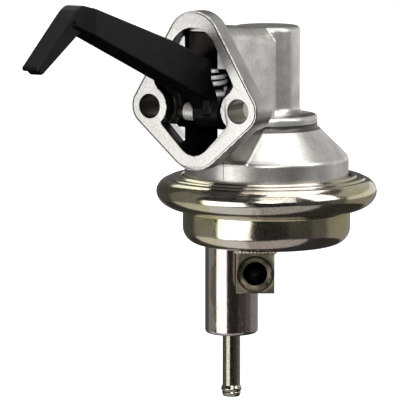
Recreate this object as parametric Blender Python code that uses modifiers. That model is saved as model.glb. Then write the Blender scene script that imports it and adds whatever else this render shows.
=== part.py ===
# Mechanical fuel pump with a long hooked rocker arm, a die-cast upper body and a plated steel lower cup.
# The mounting face lies in the XZ plane and looks along -Y. The pumping axis is upright, behind the face.
import math

import bmesh
import bpy
from mathutils import Matrix, Vector

for old in list(bpy.data.objects):
    bpy.data.objects.remove(old, do_unlink=True)

# Driving dimensions, in metres.

# Gap left between pieces that touch in the real pump.
fit_gap = 0.0003

# Mounting flange.
bolt_spacing = 0.0458
bolt_hole_radius = 0.0054
ear_radius = 0.0095
flange_thickness = 0.0088
flange_top_z = 0.0429
flange_top_radius = 0.0138
flange_bottom_z = -0.0274
flange_bottom_radius = 0.0150
flange_edge_chamfer = 0.0006
bolt_boss_wall = 0.0036
bolt_seat_radius = 0.0088
right_boss_depth = 0.0137
left_boss_depth = 0.0176
seat_cut = 0.0004

# Arm opening in the flange and the chamber behind it.
opening_top_z = 0.0354
opening_top_radius = 0.0120
opening_shoulder_x = 0.0205
opening_shoulder_z = 0.0108
opening_waist_x = 0.0172
opening_waist_z = -0.0074
opening_bottom_z = -0.0206
opening_bottom_radius = 0.0083
shoulder_depth = 0.0065
slot_half_width = 0.0081
slot_low_z = -0.0180
chamber_floor_z = -0.0093
throat_half_width = 0.0158
throat_low_z = -0.0086
throat_top_z = 0.0173
throat_end_y = 0.0190

# Arm chamber box and the round tower at its rear end.
pump_axis_y = 0.06245
box_half_width = 0.0109
box_corner_width = 0.0080
box_corner_height = 0.0060
box_bottom_z = -0.0262
funnel_end_y = 0.0300
funnel_past_bolt = 0.0071
tower_radius = 0.0150
tower_top_z = 0.0329
tower_edge = 0.0010
tower_wall = 0.0030
roof_slope = 0.105
roof_meets_tower_y = 0.0490
roof_wall = 0.0040

# Round base of the casting.
collar_radius = 0.0231
collar_top_z = -0.0088
collar_bottom_z = -0.0131
cone_top_radius = 0.0245
cone_top_z = -0.0141
skirt_step = 0.0009
cone_bottom_z = -0.0268
casting_wall = 0.0032
clamp_step = 0.0012

# Lower cup with its rolled rim.
cup_radius = 0.0383
rim_width = 0.01205
rim_middle_z = -0.0427
rim_rise = 0.0077
rim_drop = 0.0083
clamp_above_middle = 0.0011
cup_corner_radius = 0.0075
sheet = 0.0012

# Rocker arm and its pivot pin.
pivot_y = 0.0100
pivot_z = -0.0024
pin_radius = 0.0040
pin_half_length = 0.0121
arm_eye_radius = 0.0067
arm_half_width = 0.0060
hook_half_width = 0.0040
web_half_width = 0.0030
hub_half_width = 0.0076
arm_rear_y = 0.0055
arm_edge = 0.0006
hook_tip_y = -0.1226
hook_tip_z = 0.0265
hook_bend_y = -0.0905
hook_bend_z = 0.0505
hook_plate = 0.0025
web_depth_at_bend = 0.00865
web_depth_at_tip = 0.0047
shank_mid_y = -0.0250
shank_mid_top_z = 0.0318
shank_rear_top_z = 0.0213
shank_depth_at_bend = 0.0101
shank_depth_in_middle = 0.0169
shank_depth_at_rear = 0.0179
shank_shoulder = 0.0065
tail_top_z = -0.0018
tail_low_z = -0.0076

# Arm return spring.
arm_spring_y = 0.0170
arm_spring_radius = 0.0065
arm_spring_wire = 0.0012
arm_spring_turns = 1.0
arm_spring_seat_z = 0.0064
ledge_margin = 0.0009

# Pull rod, diaphragm and the pieces on the rod.
rod_radius = 0.0025
rod_head_radius = 0.0062
rod_head_height = 0.0024
fork_pad_radius = 0.0036
fork_pad_z = -0.0046
fork_half_width = 0.0066
fork_slot_half = 0.0034
fork_length = 0.0147
fork_bar = 0.0067
seal_radius = 0.0068
seal_height = 0.0034
diaphragm_thickness = 0.0010
diaphragm_sag = 0.0070
convolution_width = 0.0042
plate_thickness = 0.0012
plate_bead = 0.0014
rivet_height = 0.0014
spring_room = 0.0016
spring_rim = 0.0020
main_spring_wire = 0.0010
main_spring_turns = 5.0

# Valve body and the two valves.
dish_margin = 0.0040
dish_clearance = 0.0004
valve_floor = 0.0028
valve_radius = 0.0070
valve_lift = 0.0014
valve_boss_wall = 0.0016
valve_boss_length = 0.0089
valve_seat_height = 0.0016
valve_spring_radius = 0.0022
valve_spring_wire = 0.00025
valve_spring_turns = 1.0
room_under_valves = 0.0031
divider_half = 0.0016

# Inlet canister and hose nipple, placed from the pump axis.
canister_x = -0.0166
canister_dy = -0.0034
canister_radius = 0.0122
canister_length = 0.0429
canister_corner = 0.0016
nipple_radius = 0.00405
nipple_bore_radius = 0.00305
nipple_length = 0.0298
nipple_bead_radius = 0.00475
nipple_bead_from_end = 0.0032

# Outlet block, placed from the pump axis and turned about Z.
block_x = 0.0043
block_dy = -0.0170
block_turn = math.radians(32.3)
block_width = 0.0172
block_depth = 0.0166
block_height = 0.0198
port_below_cup = 0.0110
port_mouth_radius = 0.0074
port_bore_radius = 0.0056
port_depth = 0.0115
port_seat_radius = 0.0031

# Smoothness of the round pieces.
fine = 64
medium = 36
coarse = 20

# Sizes that follow from the ones above.
flange_bolt_x = bolt_spacing / 2
rim_radius = cup_radius + rim_width
skirt_radius = cup_radius - skirt_step
clamp_face_z = rim_middle_z + clamp_above_middle
clamp_outer = rim_radius - sheet - fit_gap * 4
casting_rim_radius = clamp_outer - clamp_step
convolute = skirt_radius - casting_wall - fit_gap * 3
plate_radius = convolute - convolution_width
centre_z = clamp_face_z - fit_gap - diaphragm_sag
upper_plate_top = centre_z + plate_thickness + fit_gap
lower_plate_low = centre_z - diaphragm_thickness - fit_gap - plate_thickness
valve_dish_radius = plate_radius + dish_margin
valve_dish_z = lower_plate_low - fit_gap - rivet_height - dish_clearance
valve_boss_low_z = valve_dish_z - valve_boss_length
cup_bottom_z = valve_boss_low_z - room_under_valves - sheet
canister_bottom_z = cup_bottom_z - canister_length
nipple_end_z = canister_bottom_z - nipple_length
nipple_bead_z = nipple_end_z + nipple_bead_from_end
block_bottom_z = cup_bottom_z - block_height
port_z = cup_bottom_z - port_below_cup
valve_centres = {"inlet": (canister_x, pump_axis_y + canister_dy), "outlet": (block_x, pump_axis_y + block_dy)}


def material(name, colour, metallic, roughness):
    mat = bpy.data.materials.new(name)
    mat.use_nodes = True
    shader = mat.node_tree.nodes["Principled BSDF"]
    shader.inputs["Base Color"].default_value = (*colour, 1.0)
    shader.inputs["Metallic"].default_value = metallic
    shader.inputs["Roughness"].default_value = roughness
    return mat


cast_alloy = material("cast_aluminium", (0.56, 0.55, 0.53), 1.0, 0.5)
black_steel = material("blackened_steel", (0.02, 0.02, 0.02), 0.6, 0.45)
bright_steel = material("bright_steel", (0.7, 0.7, 0.7), 1.0, 0.3)
spring_steel = material("spring_steel", (0.6, 0.6, 0.58), 1.0, 0.35)
plated_steel = material("yellow_zinc_plated_steel", (0.72, 0.62, 0.38), 1.0, 0.3)
dark_plated = material("dark_zinc_plated_steel", (0.32, 0.28, 0.2), 1.0, 0.35)
diaphragm_cloth = material("rubberised_fabric", (0.04, 0.04, 0.04), 0.0, 0.8)
rubber = material("black_rubber", (0.03, 0.03, 0.03), 0.0, 0.7)
die_cast_zinc = material("die_cast_zinc", (0.5, 0.5, 0.5), 1.0, 0.5)
brass = material("brass", (0.7, 0.5, 0.2), 1.0, 0.3)


def add_object(name, verts, faces, mat, parent_collection=None):
    mesh = bpy.data.meshes.new(name)
    mesh.from_pydata([tuple(v) for v in verts], [], faces)
    work = bmesh.new()
    work.from_mesh(mesh)
    bmesh.ops.recalc_face_normals(work, faces=work.faces)
    work.to_mesh(mesh)
    work.free()
    obj = bpy.data.objects.new(name, mesh)
    (parent_collection or bpy.context.scene.collection).objects.link(obj)
    if mat:
        mesh.materials.append(mat)
    return obj


cutters = bpy.data.collections.new("cutters")
bpy.context.scene.collection.children.link(cutters)
cutters.hide_render = True


def as_tool(obj):
    for holder in list(obj.users_collection):
        holder.objects.unlink(obj)
    cutters.objects.link(obj)
    obj.hide_render = True
    obj.display_type = "WIRE"
    return obj


def combine(target, tool, how):
    step = target.modifiers.new(f"{how.lower()}_{tool.name}"[:60], "BOOLEAN")
    step.operation = how
    step.solver = "EXACT"
    step.object = as_tool(tool)
    return target


def cut(target, *tools):
    for tool in tools:
        combine(target, tool, "DIFFERENCE")
    return target


def join(target, *tools):
    for tool in tools:
        combine(target, tool, "UNION")
    return target


def soften(obj, width, segments=2, angle=40.0):
    step = obj.modifiers.new("edge", "BEVEL")
    step.width = width
    step.segments = segments
    step.limit_method = "ANGLE"
    step.angle_limit = math.radians(angle)
    step.miter_outer = "MITER_SHARP"
    return obj


def turned(name, profile, mat=None, centre=(0.0, 0.0), steps=medium):
    # The profile is a closed loop of radius and height pairs, turned about an upright axis.
    verts, faces, rings = [], [], []
    for radius, height in profile:
        if radius < 1e-7:
            rings.append([len(verts)])
            verts.append((centre[0], centre[1], height))
        else:
            rings.append(list(range(len(verts), len(verts) + steps)))
            for k in range(steps):
                turn = 2 * math.pi * k / steps
                verts.append((centre[0] + radius * math.cos(turn), centre[1] + radius * math.sin(turn), height))
    for i, ring in enumerate(rings):
        following = rings[(i + 1) % len(rings)]
        if len(ring) == 1 and len(following) == 1:
            continue
        for k in range(steps):
            n = (k + 1) % steps
            if len(ring) == 1:
                faces.append((ring[0], following[n], following[k]))
            elif len(following) == 1:
                faces.append((ring[k], ring[n], following[0]))
            else:
                faces.append((ring[k], ring[n], following[n], following[k]))
    return add_object(name, verts, faces, mat)


def rod_shape(name, start, end, radius, mat=None, steps=medium):
    # A plain cylinder between two points.
    a, b = Vector(start), Vector(end)
    turn = (b - a).to_track_quat("Z", "Y")
    verts = []
    for base in (a, b):
        for k in range(steps):
            angle = 2 * math.pi * k / steps
            verts.append(base + turn @ Vector((radius * math.cos(angle), radius * math.sin(angle), 0)))
    faces = [(k, (k + 1) % steps, steps + (k + 1) % steps, steps + k) for k in range(steps)]
    faces += [tuple(range(steps))[::-1], tuple(range(steps, 2 * steps))]
    return add_object(name, verts, faces, mat)


def block_shape(name, low, high, mat=None):
    verts = [(x, y, z) for x in (low[0], high[0]) for y in (low[1], high[1]) for z in (low[2], high[2])]
    faces = [(0, 1, 3, 2), (4, 6, 7, 5), (0, 4, 5, 1), (2, 3, 7, 6), (0, 2, 6, 4), (1, 5, 7, 3)]
    return add_object(name, verts, faces, mat)


def slab(name, outline, start, end, axis="Y", mat=None):
    # A flat outline pushed along one axis. Outlines for Y are x,z pairs, for X y,z pairs and for Z x,y pairs.
    place = {"Y": lambda u, v, w: (u, w, v), "X": lambda u, v, w: (w, u, v), "Z": lambda u, v, w: (u, v, w)}[axis]
    n = len(outline)
    verts = [place(u, v, w) for w in (start, end) for u, v in outline]
    faces = [(k, (k + 1) % n, n + (k + 1) % n, n + k) for k in range(n)]
    faces += [tuple(range(n))[::-1], tuple(range(n, 2 * n))]
    return add_object(name, verts, faces, mat)


def loft(name, sections, mat=None):
    # Sections are equal loops of points, joined in order and closed at both ends.
    n = len(sections[0])
    verts = [p for loop in sections for p in loop]
    faces = []
    for s in range(len(sections) - 1):
        for k in range(n):
            m = (k + 1) % n
            faces.append((s * n + k, s * n + m, (s + 1) * n + m, (s + 1) * n + k))
    faces += [tuple(range(n))[::-1], tuple(range(len(verts) - n, len(verts)))]
    return add_object(name, verts, faces, mat)


def arc(centre, radius, start, end, count):
    # Points from the start angle to the end angle, in degrees.
    out = []
    for k in range(count + 1):
        turn = math.radians(start + (end - start) * k / count)
        out.append((centre[0] + radius * math.cos(turn), centre[1] + radius * math.sin(turn)))
    return out


def hull(points):
    # Outer outline of a set of points, counter-clockwise.
    pts = sorted(set((round(x, 8), round(y, 8)) for x, y in points))

    def half(seq):
        out = []
        for p in seq:
            while len(out) > 1:
                (ax, ay), (bx, by) = out[-2], out[-1]
                if (bx - ax) * (p[1] - ay) - (by - ay) * (p[0] - ax) > 0:
                    break
                out.pop()
            out.append(p)
        return out[:-1]

    return half(pts) + half(pts[::-1])


def circle(centre, radius, count=48):
    return arc(centre, radius, 0, 360 * (count - 1) / count, count - 1)


def coil(name, centre, radius, wire, low, high, turns, mat, per_turn=18):
    # A compression spring with one closed turn at each end.
    closed = 1.0
    total = turns + 2 * closed
    pitch_end = 2 * wire + fit_gap * 0.5
    z_low, z_high = low + wire, high - wire
    free = (z_high - z_low) - 2 * closed * pitch_end
    curve = bpy.data.curves.new(name, "CURVE")
    curve.dimensions = "3D"
    curve.bevel_depth = wire
    curve.bevel_resolution = 2
    curve.use_fill_caps = True
    count = int(per_turn * total)
    line = curve.splines.new("POLY")
    line.points.add(count)
    for k in range(count + 1):
        t = total * k / count
        if t < closed:
            z = z_low + pitch_end * t / closed
        elif t > total - closed:
            z = z_high - pitch_end * (total - t) / closed
        else:
            z = z_low + pitch_end + free * (t - closed) / turns
        turn = 2 * math.pi * t
        line.points[k].co = (centre[0] + radius * math.cos(turn), centre[1] + radius * math.sin(turn), z, 1.0)
    obj = bpy.data.objects.new(name, curve)
    bpy.context.scene.collection.objects.link(obj)
    curve.materials.append(mat)
    obj.modifiers.new("flat_faces", "TRIANGULATE")
    return obj


# Upper body, a die casting: mounting flange, arm chamber, tower and round base in one piece.
flange_outline = hull(
    circle((0, flange_top_z - flange_top_radius), flange_top_radius, 40)
    + circle((flange_bolt_x, 0), ear_radius, 32)
    + circle((-flange_bolt_x, 0), ear_radius, 32)
    + circle((0, flange_bottom_z + flange_bottom_radius), flange_bottom_radius, 40)
)
upper_body = slab("upper_body", flange_outline, 0, flange_thickness, "Y", cast_alloy)
front_edges = upper_body.data.attributes.new("bevel_weight_edge", "FLOAT", "EDGE")
for edge in upper_body.data.edges:
    if all(abs(upper_body.data.vertices[v].co.y) < 1e-9 for v in edge.vertices):
        front_edges.data[edge.index].value = 1.0
chamfer = upper_body.modifiers.new("edge", "BEVEL")
chamfer.width = flange_edge_chamfer
chamfer.segments = 1
chamfer.limit_method = "WEIGHT"


def flange_reach(angle):
    # Distance from the chamber's middle to the flange outline, less a margin.
    best = 0.0
    count = len(flange_outline)
    dx, dz = math.cos(angle), math.sin(angle)
    for k in range(count):
        (ax, az), (bx, bz) = flange_outline[k], flange_outline[(k + 1) % count]
        az, bz = az - funnel_middle_z, bz - funnel_middle_z
        ex, ez = bx - ax, bz - az
        cross = dx * ez - dz * ex
        if abs(cross) < 1e-12:
            continue
        t = (ax * ez - az * ex) / cross
        s = (ax * dz - az * dx) / cross
        if t > 0 and -1e-9 <= s <= 1 + 1e-9:
            best = max(best, t)
    return best - flange_edge_chamfer * 2


def roof_z(y):
    # The roof of the chamber falls evenly from the flange to the tower.
    return tower_top_z + roof_slope * (roof_meets_tower_y - y)


def box_reach(angle, top):
    # Distance from the chamber's middle to the outline of the box behind the funnel.
    dx, dz = math.cos(angle), math.sin(angle)
    low, high = 0.0, 2 * flange_top_z
    for _ in range(40):
        mid = (low + high) / 2
        x, z = abs(dx * mid), dz * mid + funnel_middle_z
        inside = x < box_half_width and box_bottom_z < z < top
        corner_x = (x - box_half_width) / box_corner_width + 1
        corner_z = (z - top) / box_corner_height + 1
        if inside and corner_x > 0 and corner_z > 0:
            inside = math.hypot(corner_x, corner_z) < 1
        low, high = (mid, high) if inside else (low, mid)
    return low


funnel_middle_z = (tower_top_z + box_bottom_z) / 2
funnel_reach = flange_bolt_x + funnel_past_bolt
sections = []
for step in range(6):
    share = step / 5
    ease = (1 - share) ** 2.4
    y = flange_thickness * 0.6 + (funnel_end_y - flange_thickness * 0.6) * share
    loop = []
    for k in range(64):
        angle = 2 * math.pi * (k + 0.5) / 64
        box = box_reach(angle, roof_z(y))
        reach = box + max(0.0, min(flange_reach(angle), funnel_reach) - box) * ease
        reach = min(reach, flange_reach(angle)) if step == 0 else reach
        z = funnel_middle_z + reach * math.sin(angle)
        if step > 0:
            z = min(z, roof_z(y))
        loop.append((reach * math.cos(angle), y, z))
    sections.append(loop)
box_end_y = pump_axis_y + tower_radius * 0.21
loop = []
for k in range(64):
    angle = 2 * math.pi * (k + 0.5) / 64
    reach = box_reach(angle, roof_z(box_end_y))
    loop.append((reach * math.cos(angle), box_end_y, funnel_middle_z + reach * math.sin(angle)))
sections.append(loop)
join(upper_body, loft("chamber_box", sections))
base_profile = [
    (0, tower_top_z), (tower_radius - tower_edge, tower_top_z), (tower_radius, tower_top_z - tower_edge),
    (tower_radius, collar_top_z), (collar_radius - tower_edge / 2, collar_top_z),
    (collar_radius, collar_top_z - tower_edge / 2), (collar_radius, collar_bottom_z), (cone_top_radius, cone_top_z),
    (skirt_radius - tower_edge, cone_bottom_z + tower_edge / 2), (skirt_radius, cone_bottom_z - tower_edge),
    (skirt_radius, rim_middle_z + rim_rise - sheet - fit_gap),
    (casting_rim_radius - casting_wall, rim_middle_z + rim_rise * 0.80 - sheet - fit_gap),
    (casting_rim_radius, rim_middle_z + rim_rise * 0.50 - sheet - fit_gap), (casting_rim_radius, clamp_face_z),
    (0, clamp_face_z),
]
join(upper_body, turned("tower_and_base", base_profile, centre=(0, pump_axis_y), steps=fine))

# The ears are carried back as round bosses around the bolts.
boss_depth = {"right": right_boss_depth, "left": left_boss_depth}
for side, sign in (("right", 1), ("left", -1)):
    bolt_x = sign * flange_bolt_x
    join(upper_body, rod_shape(f"ear_boss_{side}", (bolt_x, flange_thickness / 2, 0),
                               (bolt_x, boss_depth[side], 0), ear_radius - fit_gap))

# Hollows of the casting.
boss_radius = bolt_hole_radius + bolt_boss_wall


def opening_side(sign):
    # Half of the opening's outline, from the top round to the bottom, on one side.
    top = (0, opening_top_z - opening_top_radius)
    low = (0, opening_bottom_z + opening_bottom_radius)
    bolt = (flange_bolt_x, 0)
    points = arc(top, opening_top_radius, 90, 28, 10)
    points += [(opening_shoulder_x - 0.0006, opening_shoulder_z + 0.0014), (opening_shoulder_x, opening_shoulder_z),
               (opening_shoulder_x - 0.0008, opening_shoulder_z - 0.0010)]
    start = math.degrees(math.atan2(opening_shoulder_z - 0.0030, -boss_radius * 0.5))
    points += arc(bolt, boss_radius, start, 360 - math.degrees(math.atan2(-opening_waist_z, -boss_radius * 0.62)), 12)
    slope_x, slope_z = opening_waist_x, opening_waist_z - (opening_bottom_z + opening_bottom_radius)
    away = math.hypot(slope_x, slope_z)
    touch = math.degrees(math.atan2(slope_z, slope_x)) - math.degrees(math.acos(opening_bottom_radius / away))
    points += arc(low, opening_bottom_radius, touch, -90, 8)
    return [(sign * x, z) for x, z in points]


opening_outline = opening_side(1) + opening_side(-1)[::-1][1:-1]
cut(upper_body, slab("arm_opening", opening_outline, -0.002, shoulder_depth, "Y"))

throat = [(-throat_half_width, shoulder_depth - seat_cut), (throat_half_width, shoulder_depth - seat_cut),
          (slot_half_width, throat_end_y), (-slot_half_width, throat_end_y)]
throat_tool = slab("throat", throat, throat_low_z, throat_top_z, "Z")
for side, sign in (("right", 1), ("left", -1)):
    bolt_x = sign * flange_bolt_x
    cut(throat_tool, rod_shape(f"bolt_wall_{side}", (bolt_x, -shoulder_depth, 0), (bolt_x, 2 * throat_end_y, 0),
                               bolt_seat_radius + roof_wall))
cut(upper_body, throat_tool)

tower_bore = tower_radius - tower_wall
floor_level = chamber_floor_z
slot_front_y = shoulder_depth - seat_cut
slot_outline = [(slot_front_y, slot_low_z), (throat_end_y + tower_wall * 0.7, slot_low_z),
                (funnel_end_y + tower_wall, floor_level), (pump_axis_y, floor_level),
                (pump_axis_y, roof_z(pump_axis_y) - roof_wall), (slot_front_y, roof_z(slot_front_y) - roof_wall)]
cut(upper_body, slab("arm_slot", slot_outline, -slot_half_width, slot_half_width, "X"))
cut(upper_body, turned("tower_bore", [(0, tower_top_z - tower_wall), (tower_bore, tower_top_z - tower_wall),
                                      (tower_bore, floor_level), (0, floor_level)], centre=(0, pump_axis_y)))

# The upper seat of the return spring is a ledge across the slot.
ledge_front, ledge_rear = (arm_spring_y + side * (arm_spring_radius + ledge_margin) for side in (-1, 1))
ledge_low = throat_top_z + fit_gap * 0.7
ledge = slab("spring_ledge", [
    (ledge_front, ledge_low), (ledge_rear, ledge_low), (ledge_rear, roof_z(ledge_rear) - roof_wall * 0.85),
    (ledge_front, roof_z(ledge_front) - roof_wall * 0.85)],
    -slot_half_width - ledge_margin * 0.8, slot_half_width + ledge_margin * 0.8, "X")
join(upper_body, ledge)

# Space for the diaphragm, its spring and the rod guide under the ceiling.
dome_ceiling_z = cone_top_z - 0.0012
dome_ceiling_radius = cone_top_radius - casting_wall - 0.0012
dome = [(0, dome_ceiling_z), (dome_ceiling_radius, dome_ceiling_z),
        (skirt_radius - casting_wall - 0.0008, cone_bottom_z - 0.0012),
        (skirt_radius - casting_wall, clamp_face_z - 0.002), (0, clamp_face_z - 0.002)]
cut(upper_body, turned("dome", dome, centre=(0, pump_axis_y)))
guide_radius = rod_radius + fit_gap
cut(upper_body, turned("rod_guide", [(0, floor_level + 0.002), (guide_radius, floor_level + 0.002),
                                     (guide_radius, dome_ceiling_z - 0.002), (0, dome_ceiling_z - 0.002)],
                       centre=(0, pump_axis_y), steps=coarse))

for side, sign in (("right", 1), ("left", -1)):
    bolt_x, seat_y = sign * flange_bolt_x, boss_depth[side] - seat_cut
    cut(upper_body,
        rod_shape(f"bolt_hole_{side}", (bolt_x, -seat_cut * 5, 0), (bolt_x, seat_y + seat_cut * 5, 0), bolt_hole_radius),
        rod_shape(f"bolt_seat_{side}", (bolt_x, seat_y, 0), (bolt_x, funnel_end_y + seat_y, 0), bolt_seat_radius))
cut(upper_body, rod_shape("pin_bore", (-pin_half_length - fit_gap, pivot_y, pivot_z),
                          (pin_half_length + fit_gap, pivot_y, pivot_z), pin_radius + fit_gap, steps=coarse))

# Rocker arm, forged: hook with a thin web, thick shank, wide hub on the pin and a forked tail.
tip = Vector((hook_tip_y, hook_tip_z))
bend = Vector((hook_bend_y, hook_bend_z))
hook_length = (tip - bend).length
down_hook = (tip - bend).normalized()
into_hook = Vector((-down_hook.y, down_hook.x))


def on_hook(share, depth):
    # A point a share of the way from the bend to the tip, and so deep behind the hook's front.
    return tuple(bend + down_hook * hook_length * share + into_hook * depth)


eye_back = pivot_y - arm_eye_radius * 0.97
tail_y = pump_axis_y - fork_length + fork_bar / 3
tail_rise = arm_spring_seat_z - rod_head_height * 1.75
rocker_arm = slab("rocker_arm", [
    on_hook(0.968, web_depth_at_tip * 0.70), on_hook(0.950, web_depth_at_tip), on_hook(0.918, web_depth_at_tip * 1.13),
    on_hook(0.236, web_depth_at_bend), (hook_bend_y + arm_edge * 3, hook_bend_z - shank_depth_at_bend - arm_edge),
    (arm_rear_y - shank_rear_top_z * 0.42, shank_rear_top_z * 0.376), (eye_back, pivot_z + pin_radius / 2),
    (eye_back, pivot_z - pin_radius / 2), (pivot_y - arm_eye_radius * 0.60, pivot_z - arm_eye_radius * 0.80),
    (pivot_y, pivot_z - arm_eye_radius), (tail_y, tail_low_z), (tail_y, tail_top_z - arm_edge * 0.7),
    (arm_spring_y + arm_spring_radius * 1.4, tail_rise), (arm_spring_y - arm_spring_radius * 0.77, tail_rise),
    (pivot_y - arm_edge, shank_rear_top_z * 0.235), (arm_rear_y - arm_edge * 0.7, shank_rear_top_z * 0.42),
    (arm_rear_y - arm_edge * 0.7, shank_rear_top_z - arm_edge), (shank_mid_y, shank_mid_top_z - arm_edge),
    (hook_bend_y + hook_plate, hook_bend_z - hook_plate * 0.5), (hook_bend_y - hook_plate, hook_bend_z - hook_plate * 0.9),
    on_hook(0.967, hook_plate * 0.7),
], -web_half_width, web_half_width, "X", black_steel)
soften(rocker_arm, arm_edge, 2, 50)
lead_y, shoulder_y = hook_bend_y - shank_shoulder * 0.85, hook_bend_y + shank_shoulder
shoulder_top = hook_bend_z - shank_shoulder * 0.215
shank = loft("shank", [
    [(h, y, z) for h, z in ((w, top), (w, top - deep), (-w, top - deep), (-w, top))]
    for y, top, deep, w in (
        (lead_y, hook_bend_z - shank_shoulder * 0.32, shank_depth_at_bend * 0.6, hook_half_width),
        (hook_bend_y, hook_bend_z, shank_depth_at_bend, hook_half_width + arm_edge),
        (shoulder_y, shoulder_top, shank_depth_at_bend * 1.12, arm_half_width),
        (shank_mid_y, shank_mid_top_z, shank_depth_in_middle, arm_half_width),
        (arm_rear_y, shank_rear_top_z, shank_depth_at_rear, arm_half_width))
])
soften(shank, arm_edge, 1, 50)
pad = slab("pad", [
    on_hook(0.983, hook_plate * -0.19), on_hook(1.0, 0), on_hook(0.996, hook_plate * 0.5), on_hook(0.966, hook_plate * 0.8),
    on_hook(0.230, hook_plate * 0.44), on_hook(0.042, hook_plate * 1.24), on_hook(-0.03, hook_plate * 2.36),
    on_hook(-0.075, hook_plate * 1.4), on_hook(-0.02, hook_plate * 0.24), on_hook(0.044, hook_plate * -0.38),
    on_hook(0.124, hook_plate * -0.68), on_hook(0.232, hook_plate * -0.68),
], -hook_half_width, hook_half_width, "X")
soften(pad, arm_edge * 0.6, 2, 50)
join(rocker_arm, shank, pad)
hub = slab("hub", [
    (arm_rear_y - arm_edge * 3, shank_rear_top_z * 0.55), (eye_back + arm_edge / 2, pivot_z + pin_radius),
    (eye_back - arm_edge / 2, pivot_z)] + arc((pivot_y, pivot_z), arm_eye_radius - arm_edge / 3, 200, 330, 8)
    + [(pivot_y + arm_eye_radius * 0.9, pivot_z + pin_radius * 0.5), (pivot_y + arm_edge, pivot_z + arm_eye_radius),
       (arm_rear_y + arm_edge * 2, shank_rear_top_z * 0.55)], -web_half_width - arm_edge / 3, hub_half_width, "X")
join(rocker_arm, hub)
bar_front = pump_axis_y - fork_length
bar_rear = bar_front + fork_bar
cross_bar = block_shape("cross_bar", (-fork_half_width, bar_front, tail_low_z), (fork_half_width, bar_rear, tail_top_z))
join(rocker_arm, cross_bar)
for side, sign in (("right", 1), ("left", -1)):
    inner, outer = sorted((sign * fork_slot_half, sign * fork_half_width))
    prong = slab(f"prong_{side}", [
        (bar_rear - arm_edge * 1.7, tail_low_z + arm_edge / 6), (pump_axis_y, fork_pad_z - fork_pad_radius * 0.8)]
        + arc((pump_axis_y, fork_pad_z), fork_pad_radius, -60, 110, 10)
        + [(bar_rear - arm_edge * 1.7, tail_top_z - arm_edge * 1.3)], inner, outer, "X")
    join(rocker_arm, prong)
cut(rocker_arm, rod_shape("eye_bore", (-2 * hub_half_width, pivot_y, pivot_z), (2 * hub_half_width, pivot_y, pivot_z),
                          pin_radius + fit_gap, steps=coarse))

rocker_pin = rod_shape("rocker_pin", (-pin_half_length, pivot_y, pivot_z), (pin_half_length, pivot_y, pivot_z),
                       pin_radius, bright_steel, coarse)
soften(rocker_pin, 0.0004, 1, 60)

# Return spring of the arm and the dished seat that carries it.
seat_top = arm_spring_seat_z
spring_seat = turned("arm_spring_seat", [
    (0, seat_top + 0.0016), (0.0028, seat_top + 0.0016), (0.0034, seat_top), (arm_spring_radius + 0.0004, seat_top),
    (arm_spring_radius + 0.0004, seat_top - 0.0006), (0.0036, seat_top - 0.0022), (0.0028, seat_top - 0.0039),
    (0, seat_top - 0.0039)], bright_steel, (0, arm_spring_y), coarse)
arm_spring = coil("arm_return_spring", (0, arm_spring_y), arm_spring_radius - arm_spring_wire, arm_spring_wire,
                  seat_top + fit_gap, throat_top_z - fit_gap, arm_spring_turns, spring_steel)

# Pull rod with its head on the fork and its riveted lower end through the diaphragm.
head_low = fork_pad_z + fork_pad_radius + fit_gap
axis = (0, pump_axis_y)
pull_rod = turned("pull_rod", [
    (0, head_low + rod_head_height), (rod_head_radius - 0.0008, head_low + rod_head_height),
    (rod_head_radius, head_low + rod_head_height - 0.0008), (rod_head_radius, head_low), (rod_radius, head_low),
    (rod_radius, upper_plate_top + fit_gap), (rod_radius, lower_plate_low - fit_gap),
    (rod_radius + rivet_height, lower_plate_low - fit_gap),
    (rod_radius + rivet_height * 0.8, lower_plate_low - fit_gap - rivet_height * 0.8),
    (0, lower_plate_low - fit_gap - rivet_height)], bright_steel, axis, coarse)

seal_top = dome_ceiling_z - fit_gap
rod_seal = turned("rod_seal", [
    (rod_radius + fit_gap, seal_top), (seal_radius, seal_top), (seal_radius, seal_top - seal_height * 0.6),
    (rod_radius + 0.0014, seal_top - seal_height), (rod_radius + fit_gap, seal_top - seal_height)],
    rubber, axis, coarse)
cap = seal_radius + fit_gap
cap_sheet = 0.0008
retainer_out = dome_ceiling_radius - spring_room
main_spring_radius = retainer_out - spring_rim
seal_retainer = turned("seal_retainer", [
    (cap, seal_top), (retainer_out, seal_top), (retainer_out, seal_top - cap_sheet),
    (cap + cap_sheet, seal_top - cap_sheet), (cap + cap_sheet, seal_top - seal_height - cap_sheet - fit_gap),
    (rod_radius + 0.0010, seal_top - seal_height - cap_sheet - fit_gap),
    (rod_radius + 0.0010, seal_top - seal_height - fit_gap), (cap, seal_top - seal_height - fit_gap)],
    plated_steel, axis, coarse)

diaphragm_spring = coil("diaphragm_spring", axis, main_spring_radius - main_spring_wire, main_spring_wire,
                        upper_plate_top + fit_gap, seal_top - cap_sheet - fit_gap, main_spring_turns, spring_steel)

hole = rod_radius + fit_gap
clamp_top = clamp_face_z - fit_gap
clamp_out = casting_rim_radius - fit_gap
top_line = [(hole, centre_z), (plate_radius, centre_z),
            (plate_radius + convolution_width * 0.52, centre_z + diaphragm_sag * 0.30),
            (convolute, centre_z + diaphragm_sag * 0.95), (convolute + convolution_width * 0.38, clamp_top),
            (clamp_out, clamp_top)]
bottom_line = [(r, z - diaphragm_thickness) for r, z in top_line]
diaphragm = turned("diaphragm", top_line + bottom_line[::-1], diaphragm_cloth, axis)
upper_plate = turned("upper_plate", [
    (hole, centre_z + fit_gap), (hole, centre_z + fit_gap + plate_thickness),
    (plate_radius - plate_bead * 2.1, centre_z + fit_gap + plate_thickness),
    (plate_radius - plate_bead * 1.1, centre_z + fit_gap + plate_thickness + plate_bead),
    (plate_radius - plate_bead * 0.4, centre_z + fit_gap + plate_thickness + plate_bead * 0.4),
    (plate_radius - plate_bead * 1.4, centre_z + fit_gap),
], plated_steel, axis)
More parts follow.
